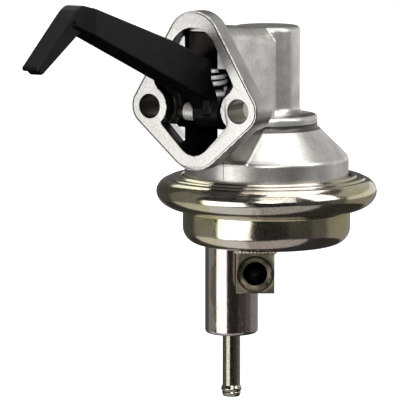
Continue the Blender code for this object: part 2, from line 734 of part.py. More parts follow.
lower_plate = turned("lower_plate", [
    (hole, lower_plate_low + plate_thickness), (plate_radius - plate_bead * 1.8, lower_plate_low + plate_thickness),
    (plate_radius - plate_bead * 1.1, lower_plate_low + plate_thickness / 2),
    (plate_radius - plate_bead * 1.4, lower_plate_low - plate_bead * 0.3),
    (plate_radius - plate_bead * 2.3, lower_plate_low), (hole, lower_plate_low)], plated_steel, axis)


# Lower cup: a deep-drawn pan whose edge is flared out and rolled back over the casting and the diaphragm.
def rim_point(angle, inset):
    turn = math.radians(angle)
    rise = rim_rise if turn > 0 else rim_drop
    return (cup_radius + (rim_radius - cup_radius - inset) * math.cos(turn), rim_middle_z + (rise - inset) * math.sin(turn))


outer_side = [rim_point(a, 0) for a in (84, 62, 42, 20, 0, -20, -42, -62, -80)]
inner_side = [rim_point(a, sheet) for a in (84, 52, 20, -20, -52, -80)]
cup_low_out = arc((cup_radius - cup_corner_radius, cup_bottom_z + cup_corner_radius), cup_corner_radius, 0, -90, 6)
cup_low_in = arc((cup_radius - cup_corner_radius, cup_bottom_z + cup_corner_radius), cup_corner_radius - sheet, 0, -90, 3)
cup_profile = outer_side + [(cup_radius, rim_middle_z - rim_drop - 0.0012)] + cup_low_out + [(0, cup_bottom_z)]
cup_profile += [(0, cup_bottom_z + sheet)] + cup_low_in[::-1]
cup_profile += [(cup_radius - sheet, rim_middle_z - rim_drop - 0.0004)] + inner_side[::-1]
lower_cup = turned("lower_cup", cup_profile, plated_steel, axis, fine)
inlet_xy, outlet_xy = valve_centres["inlet"], valve_centres["outlet"]
passage = 0.0036
cut(lower_cup,
    rod_shape("cup_inlet_hole", (*inlet_xy, cup_bottom_z - 0.002), (*inlet_xy, cup_bottom_z + 0.004), passage * 1.4),
    rod_shape("cup_outlet_hole", (*outlet_xy, cup_bottom_z - 0.002), (*outlet_xy, cup_bottom_z + 0.004), passage))

# Valve body: a dished plate clamped under the diaphragm, with a wall that parts the inlet from the outlet side.
body_top = clamp_top - diaphragm_thickness - fit_gap
cup_inside = cup_radius - sheet - fit_gap
valve_body = turned("valve_body", [
    (0, valve_dish_z), (valve_dish_radius - fit_gap * 3, valve_dish_z), (valve_dish_radius + fit_gap * 2, body_top),
    (casting_rim_radius, body_top), (casting_rim_radius, body_top - valve_floor * 0.6),
    (casting_rim_radius - valve_floor * 1.1, body_top - valve_floor * 1.1), (cup_inside, body_top - valve_floor * 1.5),
    (cup_inside, valve_dish_z - valve_floor), (0, valve_dish_z - valve_floor)], die_cast_zinc, axis)
gasket_thickness = 0.0010
floor_z = cup_bottom_z + sheet
(ix, iy), (ox, oy) = inlet_xy, outlet_xy
across = Vector((ox - ix, oy - iy)).normalized()
along = Vector((-across.y, across.x))
middle = Vector(((ix + ox) / 2, (iy + oy) / 2))
chord_middle = middle - along * (middle - Vector(axis)).dot(along)
flat_radius = cup_radius - cup_corner_radius - fit_gap
wall_reach = math.sqrt(flat_radius ** 2 - (chord_middle - Vector(axis)).length ** 2)


def strip(name, low, high, half, mat=None):
    corners = [chord_middle + along * s * wall_reach + across * t * half for s, t in ((1, 1), (1, -1), (-1, -1), (-1, 1))]
    return slab(name, [tuple(c) for c in corners], low, high, "Z", mat)


join(valve_body, strip("divider", floor_z + gasket_thickness + 2 * fit_gap, valve_dish_z - valve_floor / 2, divider_half))
chamber_gasket = strip("chamber_gasket", floor_z + fit_gap, floor_z + fit_gap + gasket_thickness, divider_half, rubber)

# Each valve: a brass seat pressed in the valve body, a rubber disc, a light spring and a perforated cage.
seat_outer = valve_radius
seat_hole = valve_radius * 0.52
disc_radius = valve_radius * 0.74
disc_height = 0.0011
pockets = []
for flow, direction in (("inlet", 1), ("outlet", -1)):
    x, y = valve_centres[flow]
    join(valve_body, rod_shape(f"{flow}_valve_boss", (x, y, valve_dish_z - valve_floor / 3), (x, y, valve_boss_low_z),
                               seat_outer + fit_gap + valve_boss_wall))
    pockets.append(rod_shape(f"{flow}_valve_pocket", (x, y, valve_dish_z + 0.002), (x, y, valve_boss_low_z - 0.002),
                             seat_outer + fit_gap))
    # The disc lifts along the direction of flow, away from its seat.
    base = valve_boss_low_z + fit_gap if direction > 0 else valve_dish_z - fit_gap
    seat_face = base + direction * valve_seat_height
    seat = turned(f"{flow}_valve_seat", [
        (seat_hole, seat_face), (seat_hole + 0.0008, seat_face), (seat_hole + 0.0012, seat_face - direction * 0.0004),
        (seat_outer - 0.0006, seat_face - direction * 0.0004), (seat_outer - 0.0006, seat_face),
        (seat_outer, seat_face), (seat_outer, base), (seat_hole, base)][::direction], brass, (x, y), coarse)
    disc_low = seat_face + direction * fit_gap
    disc_high = disc_low + direction * disc_height
    turned(f"{flow}_valve_disc", [
        (0, disc_low), (disc_radius, disc_low), (disc_radius, disc_high), (0, disc_high)][::direction], rubber, (x, y),
        coarse)
    cage_low = seat_face + direction * fit_gap
    cage_roof = disc_high + direction * (valve_lift + 0.0026)
    sheet_thin = 0.0006
    cage = turned(f"{flow}_valve_cage", [
        (seat_outer, cage_low), (seat_outer, cage_low + direction * sheet_thin),
        (disc_radius + 0.0012, cage_low + direction * sheet_thin), (disc_radius + 0.0010, cage_roof),
        (0.0012, cage_roof), (0.0012, cage_roof - direction * sheet_thin),
        (disc_radius + 0.0004, cage_roof - direction * sheet_thin), (disc_radius + 0.0005, cage_low)][::direction],
        bright_steel, (x, y), coarse)
    window_low, window_high = sorted((cage_low + direction * 0.0012, cage_roof - direction * 0.0010))
    cut(cage, block_shape(f"{flow}_cage_window_a", (x - 0.0016, y - 0.010, window_low), (x + 0.0016, y + 0.010, window_high)),
        block_shape(f"{flow}_cage_window_b", (x - 0.010, y - 0.0016, window_low), (x + 0.010, y + 0.0016, window_high)))
    coil_low, coil_high = sorted((disc_high + direction * fit_gap, cage_roof - direction * (sheet_thin + fit_gap)))
    coil(f"{flow}_valve_spring", (x, y), valve_spring_radius, valve_spring_wire, coil_low, coil_high,
         valve_spring_turns, spring_steel, per_turn=10)
cut(valve_body, *pockets)

# Inlet canister: a drawn tube brazed under the cup, closed at the bottom around the hose nipple.
canister_top = cup_bottom_z - fit_gap
inner = canister_radius - sheet
corner_out = arc((canister_radius - canister_corner, canister_bottom_z + canister_corner), canister_corner, 0, -90, 4)
nipple_hole = nipple_radius + fit_gap
inlet_canister = turned("inlet_canister", [
    (canister_radius, canister_top)] + corner_out + [
    (nipple_hole, canister_bottom_z), (nipple_hole, canister_bottom_z + sheet),
    (inner - 0.0005, canister_bottom_z + sheet), (inner, canister_bottom_z + sheet + 0.0005), (inner, canister_top)],
    plated_steel, inlet_xy)
inlet_nipple = turned("inlet_nipple", [
    (nipple_bore_radius, canister_bottom_z + sheet + 0.0030), (nipple_radius, canister_bottom_z + sheet + 0.0030),
    (nipple_radius, nipple_bead_z + 0.0020), (nipple_radius + 0.0003, nipple_bead_z + 0.0014),
    (nipple_bead_radius, nipple_bead_z + 0.0004), (nipple_bead_radius, nipple_bead_z - 0.0002),
    (nipple_radius + 0.0001, nipple_bead_z - 0.0008), (nipple_radius + 0.0003, nipple_bead_z - 0.0013),
    (nipple_radius - 0.0004, nipple_end_z), (nipple_bore_radius, nipple_end_z)], plated_steel, inlet_xy, coarse)

# Outlet block: a square bar brazed under the cup, with a flare port that looks outward.
block_top = cup_bottom_z - fit_gap
facing = Vector((math.sin(block_turn), -math.cos(block_turn)))
sideways = Vector((math.cos(block_turn), math.sin(block_turn)))
centre = Vector(outlet_xy)
corners = [centre + sideways * s * block_width / 2 + facing * t * block_depth / 2
           for s, t in ((1, 1), (1, -1), (-1, -1), (-1, 1))]
outlet_block = slab("outlet_block", [tuple(c) for c in corners], block_bottom_z, block_top, "Z", dark_plated)
soften(outlet_block, 0.0005, 1, 60)
front = centre + facing * block_depth / 2


mouth_slope = port_mouth_radius - port_bore_radius
port = turned("port", [
    (0, 0.001), (port_mouth_radius + 0.001, 0.001), (port_bore_radius, -mouth_slope), (port_bore_radius, -port_depth),
    (port_seat_radius, -port_depth - 0.0004), (port_seat_radius, -port_depth - 0.0022), (0, -port_depth - 0.0022)])
port.matrix_world = Matrix.Translation((front.x, front.y, port_z)) @ Matrix(
    ((sideways.x, 0, facing.x), (sideways.y, 0, facing.y), (0, 1, 0))).to_4x4()
cut(outlet_block, port,
    rod_shape("port_riser", (*outlet_xy, port_z + port_bore_radius * 0.37), (*outlet_xy, block_top + 0.002), passage,
              steps=coarse))
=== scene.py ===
import math

import bmesh
import bpy
from mathutils import Matrix, Vector


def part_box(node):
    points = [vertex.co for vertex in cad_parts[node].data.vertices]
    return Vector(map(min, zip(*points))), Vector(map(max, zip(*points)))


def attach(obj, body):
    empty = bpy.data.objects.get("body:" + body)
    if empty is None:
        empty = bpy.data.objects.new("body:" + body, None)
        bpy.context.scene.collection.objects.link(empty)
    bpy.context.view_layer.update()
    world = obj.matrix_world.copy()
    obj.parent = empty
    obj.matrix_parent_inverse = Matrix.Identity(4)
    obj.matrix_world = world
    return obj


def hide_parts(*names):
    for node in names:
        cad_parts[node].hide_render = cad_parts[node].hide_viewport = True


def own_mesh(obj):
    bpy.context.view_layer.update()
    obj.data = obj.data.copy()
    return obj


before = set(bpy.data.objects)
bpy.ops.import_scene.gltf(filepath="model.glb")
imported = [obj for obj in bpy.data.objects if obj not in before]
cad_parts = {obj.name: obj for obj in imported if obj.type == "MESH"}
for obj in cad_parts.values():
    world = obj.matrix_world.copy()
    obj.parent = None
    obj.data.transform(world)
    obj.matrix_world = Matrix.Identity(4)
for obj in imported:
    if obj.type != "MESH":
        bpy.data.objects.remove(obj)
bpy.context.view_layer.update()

# Upper body: one die casting in aluminium, with the mounting flange, the arm chamber, the round tower and the base.
# It is shot blasted, so it has a fine matt grain and soft corners. The mounting face, bolt holes and pin bore are
# machined after casting and stay bright and sharp. Two bolts through the ears hold it to the engine.


def linear(code):
    parts = [int(code[k:k + 2], 16) / 255 for k in (1, 3, 5)]
    return tuple(c / 12.92 if c <= 0.04045 else ((c + 0.055) / 1.055) ** 2.4 for c in parts) + (1.0,)


def add_node(tree, kind, settings=None, links=None, stops=None):
    # Settings are socket values or properties, links are sources by socket, stops are a ramp's places and colours.
    new = tree.nodes.new(kind)
    for key, value in (settings or {}).items():
        if isinstance(key, int) or key in new.inputs:
            new.inputs[key].default_value = linear(value) if isinstance(value, str) else value
        else:
            setattr(new, key, value)
    for key, source in (links or {}).items():
        tree.links.new(source.outputs[0] if isinstance(source, bpy.types.Node) else source, new.inputs[key])
    for k, (place, colour) in enumerate(stops or []):
        if k > 1:
            new.color_ramp.elements.new(place)
        new.color_ramp.elements[k].position = place
        new.color_ramp.elements[k].color = linear(colour)
    return new


def add_mesh(name, verts, faces):
    mesh = bpy.data.meshes.new(name)
    mesh.from_pydata([tuple(v) for v in verts], [], faces)
    work = bmesh.new()
    work.from_mesh(mesh)
    bmesh.ops.recalc_face_normals(work, faces=work.faces)
    work.to_mesh(mesh)
    work.free()
    obj = bpy.data.objects.new(name, mesh)
    bpy.context.scene.collection.objects.link(obj)
    return obj


def turned(name, profile, centre=(0.0, 0.0), steps=160):
    # A closed profile of radius and height pairs, turned about an upright axis.
    verts, faces, rings = [], [], []
    for radius, height in profile:
        count = 1 if radius < 1e-7 else steps
        rings.append(list(range(len(verts), len(verts) + count)))
        for k in range(count):
            turn = 2 * math.pi * k / steps
            verts.append((centre[0] + radius * math.cos(turn), centre[1] + radius * math.sin(turn), height))
    for ring, following in zip(rings, rings[1:] + rings[:1]):
        for k in range(steps if len(ring) + len(following) > 2 else 0):
            n = (k + 1) % steps
            if len(ring) == 1:
                faces.append((ring[0], following[n], following[k]))
            elif len(following) == 1:
                faces.append((ring[k], ring[n], following[0]))
            else:
                faces.append((ring[k], ring[n], following[n], following[k]))
    return add_mesh(name, verts, faces)


def loft(name, loops):
    n = len(loops[0])
    verts = [p for loop in loops for p in loop]
    faces = [(s * n + k, s * n + (k + 1) % n, (s + 1) * n + (k + 1) % n, (s + 1) * n + k)
             for s in range(len(loops) - 1) for k in range(n)]
    return add_mesh(name, verts, faces + [tuple(range(n))[::-1], tuple(range(len(verts) - n, len(verts)))])


def slab(name, outline, start, end, axis="Y"):
    place = {"Y": lambda u, v, w: (u, w, v), "X": lambda u, v, w: (w, u, v), "Z": lambda u, v, w: (u, v, w)}[axis]
    return loft(name, [[place(u, v, w) for u, v in outline] for w in (start, end)])


def cylinder(name, start, end, radius, steps=96):
    a, b = Vector(start), Vector(end)
    turn = (b - a).to_track_quat("Z", "Y")
    ring = [turn @ Vector((radius * math.cos(2 * math.pi * k / steps), radius * math.sin(2 * math.pi * k / steps), 0))
            for k in range(steps)]
    return loft(name, [[base + r for r in ring] for base in (a, b)])


def arc(centre, radius, start, end, count):
    turns = [math.radians(start + (end - start) * k / count) for k in range(count + 1)]
    return [(centre[0] + radius * math.cos(t), centre[1] + radius * math.sin(t)) for t in turns]


def outer_line(points):
    pts = sorted(set((round(x, 8), round(y, 8)) for x, y in points))

    def half(seq):
        out = []
        for p in seq:
            while len(out) > 1 and (out[-1][0] - out[-2][0]) * (p[1] - out[-2][1]) <= (
                    out[-1][1] - out[-2][1]) * (p[0] - out[-2][0]):
                out.pop()
            out.append(p)
        return out[:-1]

    return half(pts) + half(pts[::-1])


def settle(obj):
    # Keeps what the modifiers make as the object's own mesh.
    bpy.context.view_layer.update()
    made = bpy.data.meshes.new_from_object(obj.evaluated_get(bpy.context.evaluated_depsgraph_get()))
    obj.modifiers.clear()
    obj.data = made


def machine(obj, how, *tools):
    for tool in tools:
        step = obj.modifiers.new("step", "BOOLEAN")
        step.operation, step.solver, step.object = how, "EXACT", tool
        settle(obj)
        bpy.data.objects.remove(tool)
    return obj


def melt(obj, grid, rounds, most=190000):
    # Runs the joined forms together with small fillets, as metal does in a die.
    remesh = obj.modifiers.new("melt", "REMESH")
    remesh.mode, remesh.voxel_size = "VOXEL", grid
    smooth = obj.modifiers.new("soft", "SMOOTH")
    smooth.iterations, smooth.factor = rounds, 0.5
    settle(obj)
    count = sum(len(p.vertices) - 2 for p in obj.data.polygons)
    if count > most:
        fewer = obj.modifiers.new("fewer", "DECIMATE")
        fewer.ratio = most / count
        settle(obj)


def new_finish(name):
    # A material, its shader, and the place on the piece from which each pattern is drawn.
    finish = bpy.data.materials.new(name)
    finish.use_nodes = True
    tree = finish.node_tree
    return finish, tree, tree.nodes["Principled BSDF"], add_node(tree, "ShaderNodeNewGeometry")


def dress(obj, body, finish, angle=35.0, cad=()):
    # Edges sharper than the angle stay hard. The piece then rides on its body and stands in for its solid.
    work = bmesh.new()
    work.from_mesh(obj.data)
    for face in work.faces:
        face.smooth = True
    for edge in work.edges:
        edge.smooth = len(edge.link_faces) == 2 and edge.calc_face_angle(0) < math.radians(angle)
    work.to_mesh(obj.data)
    work.free()
    obj.data.materials.clear()
    obj.data.materials.append(finish)
    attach(obj, body)
    if cad:
        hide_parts(*cad)


# The bolts' places and holes, the ears round them, the flange's thickness and how far back each boss reaches.
bolt_x, bolt_hole, ear, thick = 0.0229, 0.0054, 0.0095, 0.0088
boss_end = {1: 0.0137, -1: 0.0176}
# The tower, collar, cone and skirt are turned about one upright axis behind the flange.
axis = (0.0, 0.06245)
tower_r, tower_top, skirt_r, skirt_low, base_r, base_low = 0.0150, 0.0329, 0.0374, -0.0365, 0.0464, -0.0416
# The arm chamber is a box that opens like a funnel towards the flange. Its roof slopes down to the tower.
box_half, box_low, funnel_start, funnel_end = 0.0109, -0.0262, thick * 0.6, 0.0300
roof_slope, roof_meets_tower = 0.105, 0.049
middle = (tower_top + box_low) / 2
# The pin's depth and height, its bore, and the channel that the arm swings in.
pivot, pin_bore, channel_half, channel_floor = (0.010, -0.0024), 0.0043, 0.0081, -0.0093


def roof(y):
    return tower_top + roof_slope * (roof_meets_tower - y)


def flange_line(inset=0.0):
    return outer_line(
        arc((0, 0.0291), 0.0138 - inset, 0, 357, 119) + arc((bolt_x, 0), ear - inset, 0, 357, 119)
        + arc((-bolt_x, 0), ear - inset, 0, 357, 119) + arc((0, -0.0124), 0.0150 - inset, 0, 357, 119))


def reach(outline, angle):
    dx, dz = math.cos(angle), math.sin(angle)
    best = 0.0
    for (ax, az), (bx, bz) in zip(outline, outline[1:] + outline[:1]):
        ex, ez = bx - ax, bz - az
        cross = dx * ez - dz * ex
        if abs(cross) > 1e-12:
            t = (ax * ez - (az - middle) * ex) / cross
            s = (ax * dz - (az - middle) * dx) / cross
            if t > 0 and -1e-9 <= s <= 1 + 1e-9:
                best = max(best, t)
    return best


def box_line(y):
    # The top corner is broad at the flange and tighter and flatter where it meets the tower.
    share = min(max((y - 0.034) / 0.014, 0.0), 1.0)
    wide, tall, power = 0.008 - 0.0032 * share, 0.006 + 0.0012 * share, 1.0 + 0.45 * share
    corner = [(box_half - wide + wide * math.cos(math.radians(a)) ** power,
               roof(y) - tall + tall * math.sin(math.radians(a)) ** power) for a in range(0, 91, 9)]
    return [(-box_half, box_low), (box_half, box_low)] + corner + [(-x, z) for x, z in corner[::-1]]


casting = slab("upper_body_casting", flange_line(), 0.0, thick)
plate_line = flange_line(0.0012)
stations = [funnel_start + (funnel_end - funnel_start) * k / 15 for k in range(16)]
loops = []
for y in stations + [0.036, 0.042, 0.048, axis[1] + 0.003]:
    share = min((y - funnel_start) / (funnel_end - funnel_start), 1)
    around, loop = box_line(y), []
    for k in range(180):
        angle = 2 * math.pi * (k + 0.5) / 180
        far = reach(around, angle)
        r = far + (min(reach(plate_line, angle), 0.030) - far) * (1 - share) ** 2.4
        loop.append((r * math.cos(angle), y, min(middle + r * math.sin(angle), roof(y))))
    loops.append(loop)
# From the top: the tower, its foot fillet, the collar with a rounded edge, the cone, the skirt and the clamped rim.
base = [(0, tower_top)] + arc((tower_r - 0.0019, tower_top - 0.0021), 0.0020, 90, 0, 8)
base += arc((tower_r + 0.0036, -0.0039), 0.0036, 180, 270, 10) + arc((0.0217, -0.0089), 0.0014, 90, 0, 6)
base += [(0.0231, -0.0131), (0.0245, -0.0141), (0.0369, -0.0264), (skirt_r, -0.0275), (skirt_r, skirt_low),
         (0.0430, -0.0380), (base_r, -0.0400), (base_r, base_low), (0, base_low)]
machine(casting, "UNION", loft("chamber", loops), turned("tower_and_base", base, axis))
# Under the chamber the skirt's wall runs straight up to meet it.
under_chamber = slab("under_chamber", [(0, -0.0370), (0.0400, -0.0370), (0.0400, -0.0230), (0, -0.0230)],
                     -box_half, box_half, "X")
machine(casting, "UNION", machine(cylinder("skirt_front", (*axis, skirt_low), (*axis, -0.0236), skirt_r, 160),
                                  "INTERSECT", under_chamber))
for sign, end in boss_end.items():
    machine(casting, "UNION", cylinder("boss", (sign * bolt_x, 0.004, 0), (sign * bolt_x, end, 0), ear - 0.0001))

# The opening follows the flange's outline with a wall of even width. Behind it the throat narrows between the bolts'
# walls to the channel, and a ledge above the arm takes the return spring.
foot_y, foot_z, foot_r = 0.0172, 0.0049, 0.0083
foot_start = math.degrees(math.atan2(foot_z, foot_y) - math.acos(foot_r / math.hypot(foot_y, foot_z)))
side = arc((0, 0.0234), 0.0120, 90, 28, 16) + [(0.0199, 0.0122), (0.0205, 0.0108), (0.0197, 0.0098)]
side += arc((bolt_x, 0), 0.0090, 119, 230, 24) + arc((0, -0.0123), foot_r, foot_start, -90, 12)
opening = slab("opening", side + [(-x, z) for x, z in side][::-1][1:-1], -0.002, 0.0065)
throat = slab("throat", [(-0.0158, 0.0061), (0.0158, 0.0061), (channel_half, 0.0190), (-channel_half, 0.0190)],
              -0.0086, 0.0173, "Z")
for sign in boss_end:
    machine(throat, "DIFFERENCE", cylinder("wall", (sign * bolt_x, -0.004, 0), (sign * bolt_x, 0.04, 0), 0.0128))
channel = slab("channel", [
    (0.0061, -0.0207), (0.0090, -0.0207), (0.0150, -0.018), (0.0211, -0.018), (0.033, channel_floor),
    (axis[1], channel_floor), (axis[1], roof(axis[1]) - 0.004), (0.0061, roof(0.0061) - 0.004)],
    -channel_half, channel_half, "X")
bore = turned("bore", [(0, 0.0299), (0.012, 0.0299), (0.012, channel_floor), (0, channel_floor)], axis, 96)
machine(casting, "DIFFERENCE", opening, throat, channel, bore)
machine(casting, "UNION", slab("ledge", [
    (0.0096, 0.0175), (0.0244, 0.0175), (0.0244, roof(0.0244) - 0.0034), (0.0096, roof(0.0096) - 0.0034)],
    -0.0088, 0.0088, "X"))
machine(casting, "DIFFERENCE", turned("dome", [
    (0, -0.0153), (0.0201, -0.0153), (0.0334, -0.0280), (0.0342, -0.0436), (0, -0.0436)], axis, 120))
melt(casting, 0.0005, 3)
# Machining: the face is milled flat, a fine groove runs round it, and the holes are drilled and spot faced.
machine(casting, "DIFFERENCE", slab("face_cut", [(-0.05, -0.05), (0.05, -0.05), (0.05, 0.06), (-0.05, 0.06)],
                                    -0.01, 0.00004))
machine(casting, "DIFFERENCE", machine(slab("edge_groove", flange_line(0.0006), -0.001, 0.0010), "DIFFERENCE",
                                       slab("inner", flange_line(0.0011), -0.002, 0.002)))
for sign, end in boss_end.items():
    machine(casting, "DIFFERENCE",
            cylinder("bolt_hole", (sign * bolt_x, -0.002, 0), (sign * bolt_x, 0.03, 0), bolt_hole),
            cylinder("bolt_seat", (sign * bolt_x, end - 0.0004, 0), (sign * bolt_x, 0.045, 0), 0.0088))
machine(casting, "DIFFERENCE",
        cylinder("pin_bore", (-0.0124, *pivot), (0.0124, *pivot), pin_bore),
        cylinder("rod_bore", (*axis, -0.005), (*axis, -0.02), 0.0028, 40),
        slab("parting_line", [(-0.00016, 0.0240), (0.00016, 0.0240), (0.00016, 0.02535), (-0.00016, 0.02535)],
             -0.034, box_low, "Z"))

aluminium, tree, shader, place = new_finish("die_cast_aluminium_shot_blasted")
x, y, z = add_node(tree, "ShaderNodeSeparateXYZ", {}, {0: place}).outputs
face_x, face_y, face_z = add_node(tree, "ShaderNodeSeparateXYZ", {}, {0: place.outputs["True Normal"]}).outputs
# The blasted grain is about 0.5 mm, drawn at 0.7 mm so that it shows. Clouds about 9 mm wide are a thin old film.
grain = add_node(tree, "ShaderNodeTexNoise", {"Scale": 1000 / 0.7, "Detail": 6.0, "Roughness": 0.65}, {0: place})
clouds = add_node(tree, "ShaderNodeTexNoise", {"Scale": 1000 / 9, "Detail": 5.0, "Roughness": 0.6}, {0: place})
cloud_tone = add_node(tree, "ShaderNodeValToRGB", {}, {0: clouds}, [(0.35, "#a9a6a0"), (0.65, "#cbc8c4")])
grain_share = add_node(tree, "ShaderNodeMapRange", {1: 0.35, 2: 0.65, 4: 0.45}, {0: grain})
cast_tone = add_node(tree, "ShaderNodeMix", {"data_type": "RGBA", 7: "#e8e5e1"}, {0: grain_share, 6: cloud_tone})
# The milled face is stained and speckled in spots of about 1 mm. Towards the right it is painted a little lighter, as
# painted light.
marks = add_node(tree, "ShaderNodeTexNoise", {"Scale": 1000 / 1.1, "Detail": 4.0, "Roughness": 0.7}, {0: place})
milled = add_node(tree, "ShaderNodeValToRGB", {}, {0: marks}, [(0.38, "#bcb9b5"), (0.62, "#d6d3cf")])
lighter_to_right = add_node(tree, "ShaderNodeMapRange", {1: 0.004, 2: 0.024, 4: 0.12}, {0: x})
milled_tone = add_node(tree, "ShaderNodeMix", {"data_type": "RGBA", 7: "#fdfbf9"}, {0: lighter_to_right, 6: milled})
on_face = add_node(tree, "ShaderNodeMath", {"operation": "LESS_THAN", 1: 0.00006}, {0: y})
metal_tone = add_node(tree, "ShaderNodeMix", {"data_type": "RGBA"}, {
    0: on_face, 6: cast_tone.outputs[2], 7: milled_tone.outputs[2]})

# The parts of the casting that are painted darker as shade or lighter as light: first plain limits, then bands of a
# given half width, then soft edges, and last what these make together. Two slanted lines part the opening's walls from
# the flange's outer side.
half_x = add_node(tree, "ShaderNodeMath", {"operation": "ABSOLUTE"}, {0: x})
folded = add_node(tree, "ShaderNodeCombineXYZ", {}, {0: half_x, 1: y, 2: z})
upper, lower, to_roof = (
    add_node(tree, "ShaderNodeVectorMath", {"operation": "DOT_PRODUCT", 1: across}, {0: folded}).outputs["Value"]
    for across in ((0.852, 0, 0.523), (0.651, 0, -0.759), (0, roof_slope, 1)))
throat_width = add_node(tree, "ShaderNodeMapRange", {1: 0.0065, 2: 0.0190, 3: 0.0162, 4: 0.0087}, {0: y})
part = {"in_throat_width": add_node(tree, "ShaderNodeMath", {"operation": "LESS_THAN"}, {0: half_x, 1: throat_width})}
for name, source, operation, limit in (
        ("under_upper_line", upper, "LESS_THAN", 0.0263), ("over_lower_line", lower, "LESS_THAN", 0.0210),
        ("under_roof", to_roof, "LESS_THAN", roof(0) - 0.0026), ("over_floor", z, "GREATER_THAN", -0.0210),
        ("behind_face", y, "GREATER_THAN", 0.0003), ("in_plate", y, "LESS_THAN", 0.0080),
        ("before_bore", y, "LESS_THAN", 0.064), ("in_channel", half_x, "LESS_THAN", 0.0084),
        ("under_throat_top", z, "LESS_THAN", 0.0176), ("above_throat", z, "GREATER_THAN", 0.0168),
        ("below_throat", z, "LESS_THAN", -0.0080), ("looks_forward", face_y, "LESS_THAN", -0.7),
        ("under_box", x, "LESS_THAN", 0.0120), ("on_roof", z, "GREATER_THAN", 0.0300),
        ("below_top_corner", z, "LESS_THAN", 0.014)):
    part[name] = add_node(tree, "ShaderNodeMath", {"operation": operation, 1: limit}, {0: source})
for name, source, at, within in (
        ("at_collar_top", z, -0.0063, 0.0013), ("below_collar", z, -0.0126, 0.0015), ("at_ledge", z, -0.0266, 0.0014),
        ("in_groove", y, 0.0010, 0.0004), ("at_face_edge", y, 0.0005, 0.0006)):
    part[name] = add_node(tree, "ShaderNodeMath", {"operation": "COMPARE", 1: at, 2: within}, {0: source})
for name, source, start, end in (
        ("looks_right", face_x, 0.45, 0.80), ("looks_up", face_z, 0.30, 0.90), ("rounded", face_y, -0.95, -0.85),
        ("wall_foot", z, -0.004, -0.014), ("near_flange", y, 0.020, 0.004), ("round_tower", y, 0.030, 0.032),
        ("collar_right", x, 0.0135, 0.0165), ("ledge_front", y, 0.036, 0.032), ("on_skirt", z, -0.0272, -0.0278),
        ("skirt_left", x, 0.004, 0.012), ("skirt_right", x, 0.034, 0.029)):
    part[name] = add_node(tree, "ShaderNodeMapRange", {1: start, 2: end}, {0: source})
for name, operation, first, second in (
        ("low_throat", "MULTIPLY", "in_throat_width", "under_throat_top"),
        ("throat", "MAXIMUM", "low_throat", "in_channel"), ("throat", "MULTIPLY", "throat", "before_bore"),
        ("inside", "MAXIMUM", "in_plate", "throat"), ("past_throat", "ADD", "below_throat", "above_throat"),
        ("shoulder", "MULTIPLY", "looks_forward", "past_throat"), ("shoulder", "MULTIPLY", "shoulder", "in_plate")):
    part[name] = add_node(tree, "ShaderNodeMath", {"operation": operation}, {0: part[first], 1: part[second]})
part["not_shoulder"] = add_node(tree, "ShaderNodeMath", {"operation": "SUBTRACT", 0: 1.0}, {1: part["shoulder"]})

# The walls inside the opening and the arm chamber are painted near black as shade. Only the shoulder that looks forward
# stays bright.
chamber_shade = part["under_upper_line"]
for name in ("over_lower_line", "inside", "not_shoulder", "under_roof", "over_floor", "behind_face"):
    chamber_shade = add_node(tree, "ShaderNodeMath", {"operation": "MULTIPLY"}, {0: chamber_shade, 1: part[name]})
chamber_shade_tone = add_node(tree, "ShaderNodeValToRGB", {}, {0: clouds}, [(0.3, "#141312"), (0.7, "#201f1d")])
chamber_shaded = add_node(tree, "ShaderNodeMix", {"data_type": "RGBA"}, {0: chamber_shade, 6: metal_tone.outputs[2], 7: chamber_shade_tone})
# The drilled bolt holes are painted dark grey-brown as shade inside them, darkest in the left hole.
from_bolt = add_node(tree, "ShaderNodeVectorMath", {"operation": "DISTANCE", 1: (bolt_x, 0, 0)}, {
    0: add_node(tree, "ShaderNodeCombineXYZ", {}, {0: half_x, 2: z})})
in_hole = add_node(tree, "ShaderNodeMath", {"operation": "LESS_THAN", 1: bolt_hole + 0.0001}, {
    0: from_bolt.outputs["Value"]})
tint_and_shade = add_node(tree, "ShaderNodeMapRange", {1: -bolt_x, 2: bolt_x}, {0: x})
tint_and_shade_tone = add_node(tree, "ShaderNodeMix", {"data_type": "RGBA", 6: "#3c3a35", 7: "#8b8678"}, {0: tint_and_shade})
holes_shaded = add_node(tree, "ShaderNodeMix", {"data_type": "RGBA"}, {
    0: in_hole, 6: chamber_shaded.outputs[2], 7: tint_and_shade_tone.outputs[2]})
# Painted shade darkens what looks down, the foot of the side wall, the flange's side, the roof, the collar and the band
# below it, the face's rounded edge, a line at the ledge and the skirt, and fills the groove round the face.
painted_shade = add_node(tree, "ShaderNodeMapRange", {1: -0.15, 2: -0.45, 4: 0.88}, {0: face_z})
for strength, first, *others in (
        (0.80, "looks_right", "wall_foot", "under_box"), (0.50, "looks_up", "on_roof"),
        (0.36, "looks_right", "near_flange"), (0.75, "collar_right", "at_collar_top", "round_tower"),
        (1.00, "in_groove", "looks_forward"), (0.90, "below_collar", "round_tower"),
        (0.70, "rounded", "at_face_edge", "below_top_corner"), (0.30, "ledge_front", "at_ledge"),
        (0.45, "on_skirt", "skirt_left", "skirt_right")):
    share = add_node(tree, "ShaderNodeMath", {"operation": "MULTIPLY", 1: strength}, {0: part[first]})
    for name in others:
        share = add_node(tree, "ShaderNodeMath", {"operation": "MULTIPLY"}, {0: share, 1: part[name]})
    painted_shade = add_node(tree, "ShaderNodeMath", {"operation": "MAXIMUM"}, {0: painted_shade, 1: share})
shade_darkened = add_node(tree, "ShaderNodeMix", {"data_type": "RGBA", 7: "#3a3836"}, {0: painted_shade, 6: holes_shaded.outputs[2]})
